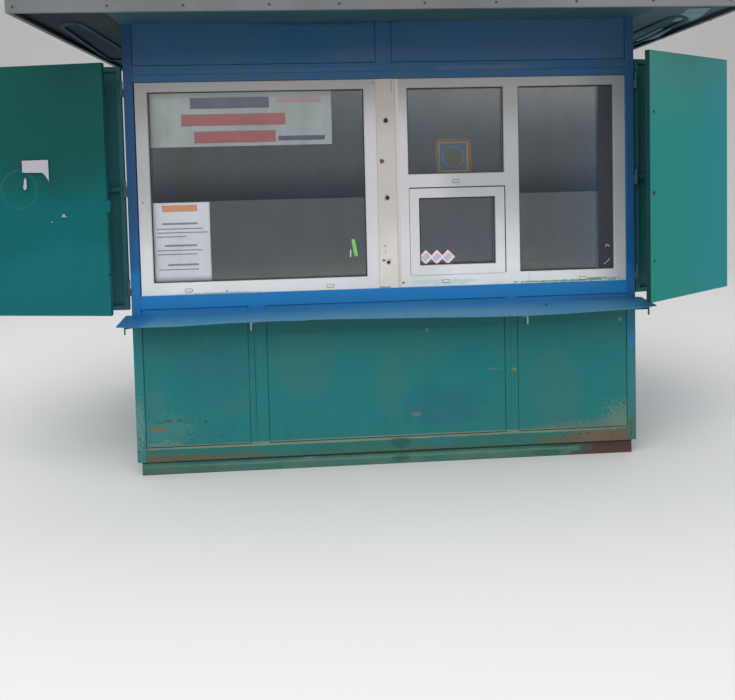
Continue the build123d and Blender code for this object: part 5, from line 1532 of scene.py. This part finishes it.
class KIOSK_OT_soffit(bpy.types.Operator):
    """Hangs the linings and bent strips of the right soffit and the fascia's lip flaps"""
    bl_idname = "kiosk.soffit"
    bl_label = "Soffit damage and batten"

    def execute(self, context):
        high = low_high("side_soffits")[1]
        linings = []
        for side in (-1, 1):
            x, y = np.meshgrid(side * np.linspace(1.575, 1.815, 5),
                               np.linspace(-1.135, 0.235, 21), indexing="ij")
            z = high[2] + 0.0002 + 0.0006 * (1 + ripple(x * 20, y * 8, 51))
            linings.append(slab(np.stack([x, y, z], -1), np.array([0, 0, 0.0015])))
        piece("soffit_linings", joined(*linings), "kiosk",
              "lining_paint_and_light")
        under = high[2] - 0.0015
        strips = [bent_strip((1.735, -0.265), (1.698, -0.685), under, 0.070, 0.016, 3),
                  bent_strip((1.668, -0.900), (1.592, -1.245), under, 0.110, 0.012, 4)]
        piece("soffit_bent_rims", joined(*strips), "kiosk",
              "soffit_rim_and_highlight")
        lip = low_high("fascia_side")[0][2]
        flaps = [bent_strip((1.802, y), (1.803, y + reach), lip + 0.0005, 0.012, 0.013, seed)
                 for y, reach, seed in ((-0.56, 0.02, 5), (-0.415, 0.012, 6),
                                        (-1.11, 0.024, 7))]
        piece("fascia_lip_flaps", joined(*flaps), "kiosk",
              "soffit_rim_and_highlight")
        return {"FINISHED"}


def bent_strip(start, end, z, width, sag, seed):
    """A loose strip of sheet: it runs from one place to another, sinks in the middle as the
    square of a sine, and one long edge curls down from the other."""
    t, w = np.meshgrid(np.linspace(0, 1, 25), np.linspace(0, 1, 6), indexing="ij")
    along = np.array([end[0] - start[0], end[1] - start[1]])
    over = np.array([-along[1], along[0]]) / np.hypot(*along)
    x = start[0] + along[0] * t + over[0] * width * w
    y = start[1] + along[1] * t + over[1] * width * w
    hang = sag * (0.35 + 0.65 * np.sin(np.pi * t) ** 2) * w ** 1.6
    wavy = 0.0016 * ripple(t * 14, w * 3, seed)
    points = np.stack([x, y, z - 0.002 - hang + wavy], -1)
    return slab(points, np.array([0, 0, -0.001]))


class KIOSK_OT_studio(bpy.types.Operator):
    """Builds the floor, the light and the camera"""
    bl_idname = "kiosk.studio"
    bl_label = "Studio"

    def execute(self, context):
        studio = context.scene.kiosk_studio
        scene = context.scene
        points, faces = studio_floor()
        mesh = bpy.data.meshes.new("studio_floor")
        mesh.from_pydata(points.tolist(), [], faces.tolist())
        mesh.polygons.foreach_set("use_smooth", np.full(len(mesh.polygons), True))
        floor = bpy.data.objects.new("studio_floor", mesh)
        scene.collection.objects.link(floor)
        mesh.materials.append(floor_material(studio.floor_colour))
        world = bpy.data.worlds.new("studio_world")
        scene.world = world
        world.use_nodes = True
        tree = world.node_tree
        back = tree.nodes["Background"]
        path = put(tree, "ShaderNodeLightPath")
        reflected = sums(tree, "MAXIMUM", path.outputs["Is Glossy Ray"],
                         path.outputs["Is Transmission Ray"])
        towards = put(tree, "ShaderNodeSeparateXYZ", None,
                      {0: put(tree, "ShaderNodeTexCoord").outputs["Generated"]})
        overhead = step(tree, towards.outputs[2], 0.0, 0.9)
        sky = sums(tree, "MULTIPLY", studio.sky_strength,
                   sums(tree, "MULTIPLY_ADD", overhead, 1.2, 0.34))
        rightward = sums(tree, "MULTIPLY_ADD", step(tree, towards.outputs[0], -0.05, 0.3),
                         0.5, 0.2)
        haze = sums(tree, "MULTIPLY_ADD", step(tree, towards.outputs[2], -0.045, 0.02),
                    0.3, 0.2)
        mirrored = sums(tree, "MULTIPLY_ADD", step(tree, towards.outputs[2], 0.02, 0.13),
                        rightward, haze)
        sky = blend_values(tree, reflected, sky, mirrored)
        strength = sums(tree, "MAXIMUM", path.outputs["Is Camera Ray"], sky)
        back.inputs["Color"].default_value = (1, 1, 1, 1)
        tree.links.new(strength, back.inputs["Strength"])
        lamps = [("key_lamp", (-1.5, -5.5, 6.5), (0.0, -0.2, 1.2), 6.0, studio.key_power),
                 ("top_lamp", (0.0, 0.5, 7.5), (0.0, 0.5, 0.0), 6.0, studio.key_power * 0.8)]
        for name, at, target, size, power in lamps:
            light = bpy.data.lights.new(name, "AREA")
            light.shape = "SQUARE"
            light.size = size
            light.energy = power
            made = bpy.data.objects.new(name, light)
            scene.collection.objects.link(made)
            made.matrix_world = look_at(at, target)
        lens = bpy.data.cameras.new("photo_camera")
        camera = bpy.data.objects.new("photo_camera", lens)
        scene.collection.objects.link(camera)
        camera.matrix_world = camera_place()
        lens.sensor_width = 36.0
        lens.sensor_fit = "HORIZONTAL"
        lens.lens = studio.lens
        lens.shift_x = 0.0
        lens.shift_y = (202.54 - 350.0) / 735.0
        lens.clip_end = 200.0
        lens.dof.use_dof = False
        scene.camera = camera
        scene.view_settings.view_transform = "Standard"
        return {"FINISHED"}


def studio_floor():
    """A sheet that lies flat and then curves up behind: its profile is a line, a quarter
    circle and another line, carried across."""
    turn = np.linspace(0, np.pi / 2, 17)[1:]
    flat = np.array([[-40.0, 0.0], [6.0, 0.0]])
    bend = np.stack([6.0 + 4.0 * np.sin(turn), 4.0 - 4.0 * np.cos(turn)], 1)
    profile = np.concatenate([flat, bend, [[10.0, 16.0]]])
    across = np.linspace(-40, 40, 9)
    x = np.repeat(across[:, None], len(profile), 1)
    points = np.stack([x, np.repeat(profile[None, :, 0], 9, 0),
                       np.repeat(profile[None, :, 1], 9, 0) - 0.0005], -1)
    return points.reshape(-1, 3), grid_faces(9, len(profile))


def floor_material(colour):
    """A plain pale matt floor."""
    material = bpy.data.materials.new("studio_floor")
    material.use_nodes = True
    tree = material.node_tree
    shader = tree.nodes["Principled BSDF"]
    shader.inputs["Base Color"].default_value = (*colour, 1.0)
    shader.inputs["Roughness"].default_value = 0.9
    shader.inputs["Specular IOR Level"].default_value = 0.1
    return material


def look_at(at, target):
    """A placing whose own -Z looks from one point to another and whose own Y is up."""
    at, target = Vector(at), Vector(target)
    turn = (at - target).to_track_quat("Z", "Y")
    return Matrix.Translation(at) @ turn.to_matrix().to_4x4()


def camera_place():
    """The placing of the photograph's camera: yaw, pitch and roll about its own axes."""
    yaw, pitch, roll = 0.06183, -0.045714, 0.023927
    ahead = np.array([math.sin(yaw) * math.cos(pitch), math.cos(yaw) * math.cos(pitch),
                      math.sin(pitch)])
    side0 = np.array([math.cos(yaw), -math.sin(yaw), 0.0])
    down0 = np.cross(ahead, side0)
    side = side0 * math.cos(roll) + down0 * math.sin(roll)
    down = -side0 * math.sin(roll) + down0 * math.cos(roll)
    place_at = (-0.355, -5.0335, 1.658)
    rows = [[side[i], -down[i], -ahead[i], place_at[i]] for i in range(3)]
    return Matrix(rows + [[0, 0, 0, 1]])


class KIOSK_PT_panel(bpy.types.Panel):
    """Lists the kiosk's makers in the sidebar of the 3D view"""
    bl_idname = "KIOSK_PT_panel"
    bl_label = "Street Kiosk"
    bl_space_type = "VIEW_3D"
    bl_region_type = "UI"
    bl_category = "Kiosk"

    def draw(self, context):
        for group in (context.scene.kiosk_sizes, context.scene.kiosk_studio):
            box = self.layout.box()
            for name in group.__annotations__:
                box.prop(group, name)
        for maker in MAKERS:
            self.layout.operator(maker.bl_idname)


MAKERS = (KIOSK_OT_finishes, KIOSK_OT_shelf, KIOSK_OT_windows, KIOSK_OT_fascia,
          KIOSK_OT_soffit, KIOSK_OT_notices, KIOSK_OT_leaf_marks, KIOSK_OT_ironwork,
          KIOSK_OT_studio)
CLASSES = (KioskSizes, KioskStudio, *MAKERS, KIOSK_PT_panel)


def register():
    """Registers the classes and hangs the settings on the scene."""
    for one in CLASSES:
        bpy.utils.register_class(one)
    bpy.types.Scene.kiosk_sizes = bpy.props.PointerProperty(type=KioskSizes)
    bpy.types.Scene.kiosk_studio = bpy.props.PointerProperty(type=KioskStudio)


def unregister():
    """Takes the settings and the classes away again."""
    del bpy.types.Scene.kiosk_studio
    del bpy.types.Scene.kiosk_sizes
    for one in reversed(CLASSES):
        bpy.utils.unregister_class(one)


def main():
    """Makes everything in order."""
    register()
    bpy.ops.kiosk.finishes()
    bpy.ops.kiosk.shelf()
    bpy.ops.kiosk.windows()
    bpy.ops.kiosk.fascia()
    bpy.ops.kiosk.notices()
    bpy.ops.kiosk.leaf_marks()
    bpy.ops.kiosk.ironwork()
    bpy.ops.kiosk.soffit()
    bpy.ops.kiosk.studio()


if __name__ == "__main__":
    main()
